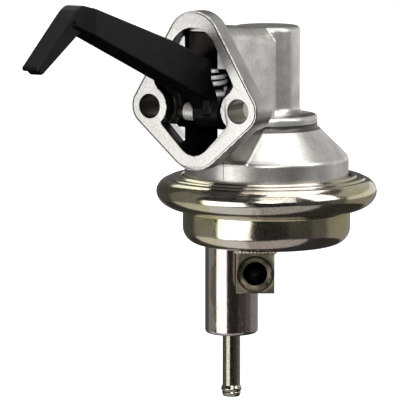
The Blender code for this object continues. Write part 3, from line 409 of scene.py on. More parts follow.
# The shoulder that looks forward is painted white and made less metallic, as painted light.
bright = add_node(tree, "ShaderNodeMath", {"operation": "MULTIPLY"}, {0: part["shoulder"], 1: part["behind_face"]})
shoulder_lightened = add_node(tree, "ShaderNodeMix", {"data_type": "RGBA", 7: "#ffffff"}, {0: bright, 6: shade_darkened.outputs[2]})
tree.links.new(shoulder_lightened.outputs[2], shader.inputs["Base Color"])
metal = add_node(tree, "ShaderNodeMapRange", {3: 0.9, 4: 0.25}, {0: bright})
tree.links.new(metal.outputs[0], shader.inputs["Metallic"])
rough = add_node(tree, "ShaderNodeMapRange", {3: 0.26, 4: 0.40}, {0: grain})
tree.links.new(rough.outputs[0], shader.inputs["Roughness"])
relief = add_node(tree, "ShaderNodeBump", {"Strength": 0.35, "Distance": 0.00006}, {"Height": grain})
tree.links.new(relief.outputs[0], shader.inputs["Normal"])
dress(casting, "housing", aluminium, 35, ["upper_body"])


# Rocker arm: a steel forging, blackened with a dull oxide skin. A T-shaped hook rides on the cam, the deep shank
# carries it, and the hub turns on the pin. The forked tail inside the chamber lifts the pull rod.
tip, bend = Vector((-0.1226, 0.0265)), Vector((-0.0905, 0.0505))
hook_length = (tip - bend).length
down_hook = (tip - bend).normalized()
into_hook = Vector((-down_hook.y, down_hook.x))


def on_hook(share, depth):
    return tuple(bend + down_hook * hook_length * share + into_hook * depth)


# Side outlines of the middle web, the deep shank with its changing width, the pad on the cam, and the hub's web.
arm = slab("rocker_arm_forging", [
    on_hook(0.968, 0.0033), on_hook(0.950, 0.0047), on_hook(0.918, 0.0053), on_hook(0.236, 0.00865), (-0.0887, 0.0398),
    (-0.0035, 0.0080), (0.0035, -0.0004), (0.0035, -0.0044), (0.0060, -0.0078), (0.0100, -0.0091), (0.0500, -0.0076),
    (0.0500, -0.0022), (0.0261, 0.0022), (0.0120, 0.0022), (0.0094, 0.0050), (0.0051, 0.0090), (0.0051, 0.0207),
    (-0.0250, 0.0312), (-0.0880, 0.0492), (-0.0930, 0.0482), on_hook(0.967, 0.0017)], -0.0029, 0.0029, "X")
shank = loft("shank", [
    [(h, y, z) for h, z in ((w, top), (w, top - deep), (-w, top - deep), (-w, top))] for y, top, deep, w in (
        (-0.0960, 0.0484, 0.0061, 0.0040), (-0.0905, 0.0505, 0.0101, 0.0046), (-0.0840, 0.0491, 0.0113, 0.0060),
        (-0.0250, 0.0318, 0.0169, 0.0060), (0.0055, 0.0213, 0.0179, 0.0060))])
pad = slab("pad", [
    on_hook(0.983, -0.0005), on_hook(1.0, 0), on_hook(0.996, 0.00125), on_hook(0.966, 0.0020), on_hook(0.230, 0.0011),
    on_hook(0.042, 0.0031), on_hook(-0.03, 0.0059), on_hook(-0.075, 0.0035), on_hook(-0.02, 0.0006),
    on_hook(0.044, -0.00095), on_hook(0.124, -0.0017), on_hook(0.232, -0.0017)], -0.0040, 0.0040, "X")
neck = slab("neck", [(0.0037, 0.0117), (0.0038, 0.0016), (0.0032, -0.0024), (0.0100, -0.0060), (0.0150, 0.0004),
                     (0.0106, 0.0043), (0.0067, 0.0117)], -0.0025, 0.0060, "X")
hub = cylinder("hub", (-0.0026, *pivot), (0.0097, *pivot), 0.0060, 64)
fork_half, prong_inside = 0.0066, 0.0034
fork = slab("fork_bar", [(0.04775, -0.0076), (0.05445, -0.0076), (0.05445, -0.0018), (0.04775, -0.0018)],
            -fork_half, fork_half, "X")
machine(arm, "UNION", shank, pad, neck, hub, fork)
for sign in (1, -1):
    inner, outer = sorted((sign * prong_inside, sign * fork_half))
    machine(arm, "UNION", slab("prong", [(0.0534, -0.0075), (axis[1], -0.0075)] + arc(
        (axis[1], -0.0046), 0.0036, -60, 110, 14) + [(0.0534, -0.0026)], inner, outer, "X"))
melt(arm, 0.00042, 4)
machine(arm, "DIFFERENCE", cylinder("eye", (-0.02, *pivot), (0.02, *pivot), pin_bore))

black_steel, tree, shader, place = new_finish("forged_steel_black_oxide")
# Forging scale leaves soft patches of about 5 mm and a skin as rough as fine sandpaper.
patches = add_node(tree, "ShaderNodeTexNoise", {"Scale": 1000 / 5, "Detail": 5.0}, {0: place})
skin = add_node(tree, "ShaderNodeTexNoise", {"Scale": 1000 / 0.8, "Detail": 4.0}, {0: place})
tone = add_node(tree, "ShaderNodeValToRGB", {}, {0: patches}, [(0.3, "#090909"), (0.7, "#0f0f10")])
# The sharp edges in front of the flange are painted lighter, as a painted highlight.
edge_highlight = add_node(tree, "ShaderNodeMapRange", {1: 0.545, 2: 0.63}, {0: place.outputs["Pointiness"]})
where = add_node(tree, "ShaderNodeSeparateXYZ", {}, {0: place})
outside = add_node(tree, "ShaderNodeMath", {"operation": "LESS_THAN", 1: -0.004}, {0: where.outputs[1]})
edge_highlight = add_node(tree, "ShaderNodeMath", {"operation": "MULTIPLY"}, {0: edge_highlight, 1: outside})
edge_lit_tone = add_node(tree, "ShaderNodeMix", {"data_type": "RGBA", 7: "#5c5c5d"}, {0: edge_highlight, 6: tone})
tree.links.new(edge_lit_tone.outputs[2], shader.inputs["Base Color"])
rough = add_node(tree, "ShaderNodeMapRange", {3: 0.40, 4: 0.60}, {0: skin})
tree.links.new(rough.outputs[0], shader.inputs["Roughness"])
# Undersides are given no gloss, as painted shade.
facing = add_node(tree, "ShaderNodeSeparateXYZ", {}, {0: place.outputs["True Normal"]})
underside_shade_gloss = add_node(tree, "ShaderNodeMapRange", {1: -0.45, 2: -0.1, 4: 0.12}, {0: facing.outputs[2]})
shader.inputs["Specular IOR Level"].default_value = 0.12
tree.links.new(underside_shade_gloss.outputs[0], shader.inputs["Specular IOR Level"])
relief = add_node(tree, "ShaderNodeBump", {"Strength": 0.3, "Distance": 0.00008}, {"Height": skin})
tree.links.new(relief.outputs[0], shader.inputs["Normal"])
dress(arm, "arm", black_steel, 40, ["rocker_arm"])

# Rocker pin: a ground steel pin with bevelled ends, pressed across the two walls of the flange. The arm turns on it.
pin = turned("rocker_pin_ground", [
    (0, 0.0121), (0.0036, 0.0121), (0.0040, 0.0117), (0.0040, -0.0117), (0.0036, -0.0121), (0, -0.0121)], steps=64)
pin.data.transform(Matrix.Translation((0, *pivot)) @ Matrix.Rotation(math.radians(90), 4, "Y"))
bright_steel, tree, shader, place = new_finish("ground_bright_steel")
# Grinding leaves fine rings, drawn 0.6 mm apart so that they show. Both ends, inside the bores, are painted near black
# as shade.
squeeze = add_node(tree, "ShaderNodeMapping", {"Scale": (1.0, 0.15, 0.15)}, {0: place})
rings = add_node(tree, "ShaderNodeTexNoise", {"Scale": 1000 / 0.6, "Detail": 2.0}, {0: squeeze})
tone = add_node(tree, "ShaderNodeValToRGB", {}, {0: rings}, [(0.35, "#b0afad"), (0.65, "#d2d1cf")])
where = add_node(tree, "ShaderNodeSeparateXYZ", {}, {0: place})
from_middle = add_node(tree, "ShaderNodeMath", {"operation": "ABSOLUTE"}, {0: where})
end_shade = add_node(tree, "ShaderNodeMapRange", {1: 0.0091, 2: 0.0095}, {0: from_middle})
ends_shaded = add_node(tree, "ShaderNodeMix", {"data_type": "RGBA", 7: "#121110"}, {0: end_shade, 6: tone})
tree.links.new(ends_shaded.outputs[2], shader.inputs["Base Color"])
rough = add_node(tree, "ShaderNodeMapRange", {3: 0.36, 4: 0.50}, {0: rings})
tree.links.new(rough.outputs[0], shader.inputs["Roughness"])
shader.inputs["Metallic"].default_value = 0.45
dress(pin, "housing", bright_steel, 35, ["rocker_pin"])

# Return spring and its seat: a short coil of round spring wire stands on a dished, pressed steel seat on the arm.
# Its upper end bears on the ledge inside the casting, so it shortens a little as the arm rises.
spring_at = (0, 0.017)


def coil(name, centre, radius, wire, low, high, turns, per_turn=48, end_gap=0.00015):
    # Free turns between one closed turn at each end, as round wire along a helix.
    total, pitch_end = turns + 2, 2 * wire + end_gap
    z_low, z_high = low + wire, high - wire
    free = (z_high - z_low) - 2 * pitch_end
    line = []
    for k in range(int(per_turn * total) + 1):
        t = k / per_turn
        if t < 1:
            z = z_low + pitch_end * t
        elif t > total - 1:
            z = z_high - pitch_end * (total - t)
        else:
            z = z_low + pitch_end + free * (t - 1) / turns
        turn = 2 * math.pi * t
        line.append(Vector((centre[0] + radius * math.cos(turn), centre[1] + radius * math.sin(turn), z)))
    loops = []
    for k, point in enumerate(line):
        ahead = (line[min(k + 1, len(line) - 1)] - line[max(k - 1, 0)]).normalized()
        out = Vector((point.x - centre[0], point.y - centre[1], 0)).normalized()
        up = ahead.cross(out)
        loops.append([point + out * wire * math.cos(a) + up * wire * math.sin(a)
                      for a in (2 * math.pi * i / 14 for i in range(14))])
    return loft(name, loops)


spring_steel, tree, shader, place = new_finish("oiled_spring_steel_wire_painted_shade")
# Thin oil stains about 3 mm wide.
stains = add_node(tree, "ShaderNodeTexNoise", {"Scale": 1000 / 3, "Detail": 3.0}, {0: place})
tone = add_node(tree, "ShaderNodeValToRGB", {}, {0: stains}, [(0.3, "#e2e1e1"), (0.7, "#ffffff")])
# The wire is painted near black as shade on its inner side, towards the axis of the arm's spring.
from_axis = add_node(tree, "ShaderNodeVectorMath", {"operation": "SUBTRACT", 1: (*spring_at, 0)}, {0: place})
level_place = add_node(tree, "ShaderNodeVectorMath", {"operation": "MULTIPLY", 1: (1, 1, 0)}, {0: from_axis})
off_axis = add_node(tree, "ShaderNodeVectorMath", {"operation": "LENGTH"}, {0: level_place})
coil_inner_shade = add_node(tree, "ShaderNodeMapRange", {1: 0.0057, 2: 0.0052}, {0: off_axis.outputs["Value"]})
coil_shaded = add_node(tree, "ShaderNodeMix", {"data_type": "RGBA", 7: "#161514"}, {0: coil_inner_shade, 6: tone})
tree.links.new(coil_shaded.outputs[2], shader.inputs["Base Color"])
rough = add_node(tree, "ShaderNodeMapRange", {3: 0.32, 4: 0.45}, {0: stains})
tree.links.new(rough.outputs[0], shader.inputs["Roughness"])
shader.inputs["Metallic"].default_value = 0.15
return_spring = coil("arm_return_spring_wire", spring_at, 0.0053, 0.0010, 0.0066, 0.0170, 0.9, end_gap=0.0010)
dress(return_spring, "housing", spring_steel, 60, ["arm_return_spring"])
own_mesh(return_spring)
# The seat's plain zinc has specks of about 1 mm and hardly mirrors.
pale_zinc, tree, shader, place = new_finish("pressed_steel_pale_zinc")
spangle = add_node(tree, "ShaderNodeTexNoise", {"Scale": 1000 / 1.2, "Detail": 4.0}, {0: place})
tone = add_node(tree, "ShaderNodeValToRGB", {}, {0: spangle}, [(0.35, "#e4e3e1"), (0.65, "#ffffff")])
tree.links.new(tone.outputs[0], shader.inputs["Base Color"])
rough = add_node(tree, "ShaderNodeMapRange", {3: 0.35, 4: 0.55}, {0: spangle})
tree.links.new(rough.outputs[0], shader.inputs["Roughness"])
shader.inputs["Metallic"].default_value = 0.1
seat = turned("spring_seat_pressing", [
    (0, 0.0065), (0.0061, 0.0065), (0.0067, 0.0063), (0.0069, 0.0058), (0.0068, 0.0049), (0.0061, 0.0043),
    (0.0040, 0.0037), (0.0030, 0.0031), (0.0024, 0.0025), (0, 0.0025)], spring_at, 64)
dress(seat, "arm", pale_zinc, 35, ["arm_spring_seat"])

# Lower cup: deep-drawn sheet steel, plated with yellow zinc, whose tint wanders from straw to pink and green.
# Its edge is flared out and rolled back in over the casting and the diaphragm, which holds the pump together.
inlet_at, outlet_at = (-0.0166, 0.05905), (0.0043, 0.04545)
cup = turned("lower_cup_drawn", [(r / 1000, z / 1000) for r, z in (
    [(38.75, -36.2), (38.85, -35.5), (39.4, -35.0), (40.2, -34.95), (40.9, -35.3), (41.4, -35.85), (41.8, -36.0),
     (42.6, -35.85), (43.6, -35.95), (44.5, -36.25), (45.0, -36.65), (45.25, -36.95), (45.7, -36.9), (46.6, -37.25)]
    + [(38.3 + 12.05 * math.cos(math.radians(a)), -42.7 + (7.7 if a > 0 else 8.3) * math.sin(math.radians(a)))
       for a in range(40, -66, -6)]
    + [(42.6, -50.3), (41.4, -50.5), (40.0, -50.55), (39.0, -50.8), (38.45, -51.3), (38.3, -52.0)]
    + arc((30.8, -59.2), 7.5, 0, -90, 14) + [(0.0, -66.7), (0.0, -65.5)] + arc((30.8, -59.2), 6.3, -90, 0, 8)
    + [(37.1, -51.5), (37.6, -50.6), (39.8, -49.9), (43.0, -49.2), (46.4, -47.4), (48.8, -44.4), (49.1, -42.7),
       (48.6, -40.6), (46.6, -38.2), (44.0, -37.1), (41.0, -36.75), (39.5, -36.6)])], axis, 256)
for name, centre, radius in (("inlet", inlet_at, 0.0050), ("outlet", outlet_at, 0.0036)):
    machine(cup, "DIFFERENCE", cylinder(name, (*centre, -0.069), (*centre, -0.062), radius, 48))
machine(cup, "DIFFERENCE", slab(
    "notch", [(-0.0031, 0.0170), (-0.0025, 0.0170), (-0.0025, 0.0196), (-0.0031, 0.0196)], -0.0372, -0.030, "Z"))


def zinc_plated(name, centre, round_stops_and_highlights, up_stops, low, high):
    # The passivation is thicker or thinner from place to place, and its tint follows: the angle round the piece and
    # the height give it, stirred with a slow cloud about 20 mm wide. Fine specks of 1 mm break the gloss.
    mat, tree, shader, place = new_finish(name)
    where = add_node(tree, "ShaderNodeSeparateXYZ", {}, {0: place})
    off_x = add_node(tree, "ShaderNodeMath", {"operation": "SUBTRACT", 1: centre[0]}, {0: where.outputs[0]})
    off_y = add_node(tree, "ShaderNodeMath", {"operation": "SUBTRACT", 1: centre[1]}, {0: where.outputs[1]})
    angle = add_node(tree, "ShaderNodeMath", {"operation": "ARCTAN2"}, {0: off_x, 1: off_y})
    slow = add_node(tree, "ShaderNodeTexNoise", {"Scale": 1000 / 20, "Detail": 4.0}, {0: place})
    turn = add_node(tree, "ShaderNodeMapRange", {1: -math.pi, 2: math.pi}, {0: angle})
    height = add_node(tree, "ShaderNodeMapRange", {1: low, 2: high}, {0: where.outputs[2]})
    tones = []
    # Pale stops on the angle ramp can paint in a highlight and dark stops painted shade, as given at each call.
    for way, stir, stops in ((turn, 0.05, round_stops_and_highlights), (height, 0.16, up_stops)):
        offset = add_node(tree, "ShaderNodeMapRange", {1: 0.2, 2: 0.8, 3: -stir, 4: stir}, {0: slow})
        tint_and_shade = add_node(tree, "ShaderNodeMath", {"operation": "ADD"}, {0: way, 1: offset})
        tones.append(add_node(tree, "ShaderNodeValToRGB", {}, {0: tint_and_shade}, stops))
    both = add_node(tree, "ShaderNodeMix", {"data_type": "RGBA", 0: 0.4}, {6: tones[0], 7: tones[1]})
    specks = add_node(tree, "ShaderNodeTexNoise", {"Scale": 1000 / 1.0, "Detail": 5.0, "Roughness": 0.65}, {0: place})
    worn = add_node(tree, "ShaderNodeMapRange", {1: 0.4, 2: 0.7, 4: 0.4}, {0: specks})
    tone = add_node(tree, "ShaderNodeMix", {"data_type": "RGBA", 7: "#e2ddd2"}, {0: worn, 6: both.outputs[2]})
    tree.links.new(tone.outputs[2], shader.inputs["Base Color"])
    rough = add_node(tree, "ShaderNodeMapRange", {1: 0.3, 2: 0.7, 3: 0.09, 4: 0.20}, {0: specks})
    tree.links.new(rough.outputs[0], shader.inputs["Roughness"])
    shader.inputs["Metallic"].default_value = 1.0
    relief = add_node(tree, "ShaderNodeBump", {"Strength": 0.2, "Distance": 0.00005}, {"Height": specks})
    tree.links.new(relief.outputs[0], shader.inputs["Normal"])
    return mat


# On the angle ramp the near-white stops from 0.945 round to 0.03, at the front, are a painted highlight.
yellow_zinc = zinc_plated("yellow_zinc_plated_drawn_sheet", axis, [
    (0.0, "#fff8ea"), (0.03, "#f3eeb9"), (0.06, "#c2bb84"), (0.15, "#c6ba96"), (0.3, "#bcae9d"), (0.45, "#c4b693"),
    (0.6, "#bfaca8"), (0.7, "#bdb18a"), (0.76, "#c9be78"), (0.8, "#a2978a"), (0.87, "#9d9089"), (0.93, "#a0947f"),
    (0.945, "#f2ecdd"), (0.97, "#fffaee"), (1.0, "#fff8ea")], [
    (0.0, "#d3b5b3"), (0.16, "#cbbbb0"), (0.3, "#c4b9a9"), (0.38, "#cfc98a"), (0.47, "#c6c37a"), (0.6, "#b3a699"),
    (0.75, "#b1afa3"), (0.9, "#bab8ae"), (1.0, "#d8d6ce")], -0.067, -0.034)
dress(cup, "housing", yellow_zinc, 50, ["lower_cup"])

# Inlet canister and hose nipple: a drawn steel tube brazed under the cup and closed around the nipple, a thinner tube
# with a rolled bead for the hose. Both carry the same yellow zinc.
canister = turned("inlet_canister_tube", [(r / 1000, z / 1000) for r, z in (
    [(12.2, -67.0)] + arc((10.6, -108.0), 1.6, 0, -90, 8)
    + [(4.9, -109.6), (4.35, -109.9), (4.35, -108.4), (10.5, -108.4), (11.0, -107.9), (11.0, -67.0)])], inlet_at, 128)
# On the angle ramp the pale stops at 0.05 to 0.13 and 0.95 to 0.98 are painted highlights, and the dark stop at 0.03 is
# painted shade beside them.
tube_zinc = zinc_plated("yellow_zinc_plated_drawn_tube", inlet_at, [
    (0.0, "#b3a9a1"), (0.03, "#857c74"), (0.05, "#f4e9dc"), (0.13, "#f4e9dc"), (0.3, "#b7ab98"), (0.5, "#b3a6a2"),
    (0.7, "#b5a99c"), (0.8, "#a1948f"), (0.91, "#8d7d83"), (0.95, "#dbd2cc"), (0.98, "#dcd4ce"), (1.0, "#b3a9a1")], [
    (0.0, "#b9a8ac"), (0.35, "#c2b5a6"), (0.6, "#b8aa9c"), (1.0, "#bfb2a4")], -0.110, -0.067)
dress(canister, "housing", tube_zinc, 40, ["inlet_canister"])
nipple = turned("hose_nipple_tube", [(r / 1000, z / 1000) for r, z in (
    [(3.05, -105.4), (4.05, -105.4), (4.05, -134.0), (4.15, -134.5), (4.6, -135.2), (4.75, -135.8), (4.7, -136.4),
     (4.3, -136.9), (4.1, -137.2), (4.3, -137.6), (4.32, -138.0), (4.1, -138.5), (3.85, -139.2), (3.7, -139.4),
     (3.2, -139.4), (3.05, -139.2)])], inlet_at, 96)
nipple_zinc = zinc_plated("yellow_zinc_plated_thin_tube", inlet_at, [
    (0.0, "#8b8a74"), (0.4, "#7c7b66"), (0.7, "#87836f"), (1.0, "#8b8a74")], [
    (0.0, "#807e72"), (0.3, "#93917c"), (0.7, "#83816a"), (1.0, "#8a876f")], -0.1394, -0.1096)
dress(nipple, "housing", nipple_zinc, 40, ["inlet_nipple"])

# Outlet block: a piece of square steel bar brazed under the cup, bored and coned for the outlet tube's flare nut.
# The plating is darker here, brown from the heat of the brazing.
half_wide, half_deep, port_z, block_turn = 0.0086, 0.0083, -0.0777, math.radians(32.3)
facing = Vector((math.sin(block_turn), -math.cos(block_turn)))
sideways = Vector((math.cos(block_turn), math.sin(block_turn)))
corners = [Vector(outlet_at) + sideways * s * half_wide + facing * t * half_deep
           for s, t in ((1, 1), (1, -1), (-1, -1), (-1, 1))]
block = slab("outlet_block_bar", [tuple(c) for c in corners], -0.0865, -0.0670, "Z")
front = Vector(outlet_at) + facing * half_deep
port_frame = Matrix.Translation((*front, port_z)) @ Matrix(
    ((sideways.x, 0, facing.x), (sideways.y, 0, facing.y), (0, 1, 0))).to_4x4()
port = turned("port", [(r / 1000, z / 1000) for r, z in (
    [(0, 1), (7.9, 1), (7.4, -0.1), (6.2, -1.3)] + [(r, z) for k in range(12) for r, z in (
        (5.35, -1.5 - 0.8 * k), (5.8, -1.9 - 0.8 * k))] + [(5.3, -11.3), (3.1, -11.9), (3.1, -13.7), (0, -13.7)])],
    steps=96)
port.data.transform(port_frame)
machine(block, "DIFFERENCE", port)
# The braze stands as an uneven bead all round the top, as a piece of its own.
bead_rings, bead_sides = 200, 10
loops = []
for k in range(bead_rings):
    side, share = divmod(4 * k / bead_rings, 1)
    a, b = corners[int(side)], corners[(int(side) + 1) % 4]
    across = (b - a).normalized()
    swell = 0.0007 + 0.0003 * math.sin(k * 1.3) + 0.00022 * math.sin(k * 0.61 + 1)
    loops.append([Vector((*(a + (b - a) * share), -0.0674)) + Vector((across.y, -across.x, 0)) * swell * math.cos(t)
                  + Vector((0, 0, 1)) * swell * math.sin(t)
                  for t in (2 * math.pi * i / bead_sides for i in range(bead_sides))])
bead = add_mesh("outlet_block_braze", [v for loop in loops for v in loop], [
    (a * bead_sides + i, a * bead_sides + j, b * bead_sides + j, b * bead_sides + i)
    for a, b in ((ring, (ring + 1) % bead_rings) for ring in range(bead_rings))
    for i, j in ((i, (i + 1) % bead_sides) for i in range(bead_sides))])
edge = block.modifiers.new("edge", "BEVEL")
edge.width, edge.segments, edge.limit_method, edge.angle_limit = 0.0004, 2, "ANGLE", math.radians(60)
settle(block)
dark_zinc, tree, shader, place = new_finish("machined_bar_dark_yellow_zinc")
# Heat blotches about 6 mm wide.
blotches = add_node(tree, "ShaderNodeTexNoise", {"Scale": 1000 / 6, "Detail": 6.0, "Roughness": 0.6}, {0: place})
tone = add_node(tree, "ShaderNodeValToRGB", {}, {0: blotches}, [(0.3, "#575146"), (0.5, "#7d7564"), (0.7, "#978c73")])
# Inside the port the bore is painted nearly black as shade, darker with depth, and a turned line runs round it on the
# front. The bead is pale.
from_front = add_node(tree, "ShaderNodeVectorMath", {"operation": "SUBTRACT", 1: (*front, port_z)}, {0: place})
depth = add_node(tree, "ShaderNodeVectorMath", {"operation": "DOT_PRODUCT", 1: (*facing, 0)}, {0: from_front})
aside = add_node(tree, "ShaderNodeVectorMath", {"operation": "DOT_PRODUCT", 1: (*sideways, 0)}, {0: from_front})
upright = add_node(tree, "ShaderNodeSeparateXYZ", {}, {0: from_front})
flat = add_node(tree, "ShaderNodeCombineXYZ", {}, {0: aside.outputs["Value"], 1: upright.outputs[2]})
radius = add_node(tree, "ShaderNodeVectorMath", {"operation": "LENGTH"}, {0: flat})
near_port = add_node(tree, "ShaderNodeMath", {"operation": "LESS_THAN", 1: 0.0069}, {0: radius.outputs["Value"]})
bore_depth_shade = add_node(tree, "ShaderNodeMapRange", {1: -0.0006, 2: -0.0022}, {0: depth.outputs["Value"]})
bore_shade = add_node(tree, "ShaderNodeMath", {"operation": "MULTIPLY"}, {0: near_port, 1: bore_depth_shade})
where = add_node(tree, "ShaderNodeSeparateXYZ", {}, {0: place})
at_bead = add_node(tree, "ShaderNodeMapRange", {1: -0.0684, 2: -0.0680}, {0: where.outputs[2]})
brazed = add_node(tree, "ShaderNodeMix", {"data_type": "RGBA", 7: "#e9e3d2"}, {0: at_bead, 6: tone})
ring = add_node(tree, "ShaderNodeMath", {"operation": "COMPARE", 1: 0.0079, 2: 0.00045}, {0: radius.outputs["Value"]})
on_front = add_node(tree, "ShaderNodeMath", {"operation": "GREATER_THAN", 1: -0.0006}, {0: depth.outputs["Value"]})
turned_line = add_node(tree, "ShaderNodeMath", {"operation": "MULTIPLY"}, {0: ring, 1: on_front})
ringed = add_node(tree, "ShaderNodeMix", {"data_type": "RGBA", 7: "#34302a"}, {0: turned_line, 6: brazed.outputs[2]})
bore_shaded = add_node(tree, "ShaderNodeMix", {"data_type": "RGBA", 7: "#0c0b0a"}, {0: bore_shade, 6: ringed.outputs[2]})
tree.links.new(bore_shaded.outputs[2], shader.inputs["Base Color"])
rough = add_node(tree, "ShaderNodeMapRange", {3: 0.25, 4: 0.5}, {0: blotches})
tree.links.new(rough.outputs[0], shader.inputs["Roughness"])
shader.inputs["Metallic"].default_value = 1.0
dress(block, "housing", dark_zinc, 35, ["outlet_block"])
dress(bead, "housing", dark_zinc, 80)

# Inner pieces: rod, diaphragm, plates, seals, valve body and valves, as the solids have them. They are closed in by the
# casting and the cup, and keep plain finishes of their own metals and rubbers.
low, high = (corner.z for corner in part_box("diaphragm_spring"))
main_spring = coil("diaphragm_spring_wire", axis, 0.0155, 0.0010, low, high, 5.0, 36)
dress(main_spring, "housing", spring_steel, 60, ["diaphragm_spring"])
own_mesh(main_spring)
diaphragm = turned("diaphragm_moulded", [(r / 1000, z / 1000) for r, z in (
    (2.8, -48.9), (28.8, -48.9), (29.7, -48.6), (30.6, -47.7), (31.4, -46.4), (32.2, -44.8), (33.0, -43.2),
    (33.8, -42.2), (34.9, -41.9), (46.45, -41.9), (46.45, -42.9), (34.9, -42.9), (34.2, -43.1), (33.4, -44.1),
    (32.6, -45.8), (31.8, -47.4), (31.0, -48.7), (30.1, -49.6), (29.2, -49.9), (2.8, -49.9))], axis, 128)
inner_finish = {
    "black_nitrile_rubber": ("#1a1a1c", "#242426", 0.0, 0.65, ["rod_seal", "chamber_gasket", "inlet_valve_disc",
                                                               "outlet_valve_disc"]),
    "die_cast_zinc_alloy": ("#84868a", "#9a9ca0", 1.0, 0.45, ["valve_body"]),
    "turned_brass": ("#a9803c", "#c9a05a", 1.0, 0.25, ["inlet_valve_seat", "outlet_valve_seat"]),
    "bright_zinc_pressed_steel": ("#a8a8aa", "#c4c4c6", 1.0, 0.3, [
        "pull_rod", "upper_plate", "lower_plate", "seal_retainer", "inlet_valve_cage", "outlet_valve_cage"])}
for name, (low, high, metal, roughness, nodes) in inner_finish.items():
    mat, tree, shader, place = new_finish(name)
    texture = add_node(tree, "ShaderNodeTexNoise", {"Scale": 1000 / 1.5, "Detail": 4.0}, {0: place})
    tone = add_node(tree, "ShaderNodeValToRGB", {}, {0: texture}, [(0.35, low), (0.65, high)])
    tree.links.new(tone.outputs[0], shader.inputs["Base Color"])
    rough = add_node(tree, "ShaderNodeMapRange", {3: roughness - 0.06, 4: roughness + 0.1}, {0: texture})
    tree.links.new(rough.outputs[0], shader.inputs["Roughness"])
    shader.inputs["Metallic"].default_value = metal
    for node in nodes:
        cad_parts[node].data.materials.clear()
        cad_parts[node].data.materials.append(mat)

dress(diaphragm, "housing", bpy.data.materials["black_nitrile_rubber"], 60, ["diaphragm"])
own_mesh(diaphragm)
for flow, centre, fixed_end in (("inlet", inlet_at, 1), ("outlet", outlet_at, 0)):
    low, high = (corner.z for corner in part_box(f"{flow}_valve_spring"))
    valve_spring = coil(f"{flow}_valve_spring_wire", centre, 0.0022, 0.00025, low, high, 1.0, 36)
    dress(valve_spring, "housing", spring_steel, 60, [f"{flow}_valve_spring"])
    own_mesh(valve_spring)

# Camera: a long lens from the front right, a little above the rim.
eye = bpy.data.cameras.new("camera")
eye.lens, eye.sensor_width, eye.clip_start, eye.clip_end = 267.7, 36.0, 0.05, 20.0
camera = bpy.data.objects.new("camera", eye)
bpy.context.scene.collection.objects.link(camera)
turn, lift = math.radians(32.31), math.radians(7.62)
back = Vector((math.sin(turn) * math.cos(lift), -math.cos(turn) * math.cos(lift), math.sin(lift)))
right = Vector((math.cos(turn), math.sin(turn), 0))
up = back.cross(right)
camera.matrix_world = Matrix(((right.x, up.x, back.x, 0.69482), (right.y, up.y, back.y, -1.09307),
                              (right.z, up.z, back.z, 0.13306), (0, 0, 0, 1)))
bpy.context.scene.camera = camera

# Studio: a white room with a pale floor far below. Six softboxes light the pump: one low at the left, two at the right,
# one overhead, one high at the rear and a small one at the front. Grey cards round them, which the camera doesn't see,
# shade the metal.
world = bpy.data.worlds.new("studio")
bpy.context.scene.world = world
world.use_nodes = True
tree = world.node_tree
path = add_node(tree, "ShaderNodeLightPath")
seen = add_node(tree, "ShaderNodeMath", {"operation": "MAXIMUM"}, {0: path.outputs["Is Camera Ray"],
                                                                  1: path.outputs["Is Glossy Ray"]})
seen_through = add_node(tree, "ShaderNodeMath", {"operation": "MAXIMUM"}, {0: seen,
                                                                          1: path.outputs["Is Transmission Ray"]})
level = add_node(tree, "ShaderNodeMapRange", {3: 0.30, 4: 1.0}, {0: seen_through})
tree.nodes["Background"].inputs["Color"].default_value = (1, 1, 1, 1)
tree.links.new(level.outputs[0], tree.nodes["Background"].inputs["Strength"])
middle_of_pump = Vector((0, 0.03, -0.03))


def around(bearing, away, height):
    # Bearings run from the front of the flange, positive to the right.
    t = math.radians(bearing)
    return Vector((middle_of_pump.x + away * math.sin(t), middle_of_pump.y - away * math.cos(t), height))


def softbox(name, place, size, radiance):
    lamp = bpy.data.lights.new(name, "AREA")
    lamp.shape, lamp.size, lamp.size_y = "RECTANGLE", size[0], size[1]
    lamp.energy = 4 * radiance * size[0] * size[1]
    obj = bpy.data.objects.new(name, lamp)
    bpy.context.scene.collection.objects.link(obj)
    obj.location = place
    obj.rotation_euler = (middle_of_pump - place).to_track_quat("-Z", "Y").to_euler()
    return obj


lamps = [softbox("low_left", around(-15, 1.0, -0.25), (0.90, 0.66), 1.75),
         softbox("upper_right", around(46, 0.85, 0.55), (0.60, 0.9), 1.60),
         softbox("right_high", around(98, 0.85, 0.50), (0.50, 0.8), 2.80),
         softbox("overhead", Vector((0.05, 0.08, 0.80)), (0.9, 0.9), 1.90),
         softbox("rear_top", around(231, 0.9, 0.70), (0.6, 0.5), 1.20),
         softbox("front_fill", around(34, 1.2, 0.36), (0.40, 0.30), 13.0)]


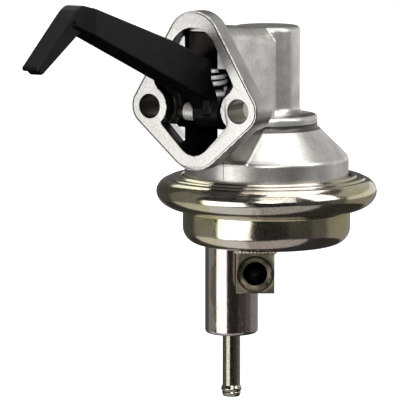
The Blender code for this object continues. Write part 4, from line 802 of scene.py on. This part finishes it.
def card(name, outline, grey):
    sheet = bpy.data.materials.new(name + "_cloth")
    sheet.use_nodes = True
    surface = sheet.node_tree.nodes["Principled BSDF"]
    surface.inputs["Base Color"].default_value = (0.02, 0.02, 0.02, 1)
    surface.inputs["Specular IOR Level"].default_value = 0.0
    surface.inputs["Emission Color"].default_value = (1, 1, 1, 1)
    surface.inputs["Emission Strength"].default_value = grey
    obj = add_mesh(name, outline, [(0, 1, 2, 3)])
    obj.data.materials.append(sheet)
    obj.visible_camera = False
    return obj


cards, foot, head, half_room = [], -0.62, 1.05, 1.5
for name, first, last, low, high, grey in (
        ("front_left_card", -46, 18, foot, head, 0.02), ("front_card", 18, 62, foot, head, 0.015),
        ("right_card", 62, 98, foot, head, 0.07), ("right_rear_card", 98, 124, foot, head, 0.14),
        ("rear_right_low_card", 124, 196, foot, -0.12, 0.32), ("rear_right_card", 124, 196, -0.12, 0.25, 0.95),
        ("rear_right_top_card", 124, 196, 0.25, head, 0.55), ("rear_card", 196, 232, foot, head, 0.10),
        ("rear_left_card", 232, 272, foot, head, 0.07), ("left_card", 272, 314, foot, head, 0.20)):
    corners = [(first, low), (last, low), (last, high), (first, high)]
    cards.append(card(name, [around(bearing, 1.4, height) for bearing, height in corners], grey))
for name, near, far, height, grey in (
        ("ceiling_card", -half_room, half_room, head, 0.10), ("far_front_card", -half_room, -0.75, foot, 0.05),
        ("low_front_card", -0.75, 0.1, foot, 0.55), ("low_rear_card", 0.1, half_room, foot, 0.03)):
    cards.append(card(name, [(-half_room, near, height), (half_room, near, height), (half_room, far, height),
                             (-half_room, far, height)], grey))
floor = add_mesh("floor", [(-9, -9, -0.65), (9, -9, -0.65), (9, 9, -0.65), (-9, 9, -0.65)], [(0, 1, 2, 3)])
pale = bpy.data.materials.new("pale_studio_floor")
pale.use_nodes = True
tree = pale.node_tree
surface = tree.nodes["Principled BSDF"]
surface.inputs["Base Color"].default_value = (0.9, 0.9, 0.9, 1)
surface.inputs["Emission Color"].default_value = (1, 1, 1, 1)
path = add_node(tree, "ShaderNodeLightPath")
seen = add_node(tree, "ShaderNodeMath", {"operation": "MAXIMUM"}, {0: path.outputs["Is Camera Ray"],
                                                                  1: path.outputs["Is Glossy Ray"]})
glow = add_node(tree, "ShaderNodeMath", {"operation": "MULTIPLY", 1: 0.85}, {0: seen})
tree.links.new(glow.outputs[0], surface.inputs["Emission Strength"])
floor.data.materials.append(pale)
bpy.context.scene.view_settings.view_transform = "Standard"
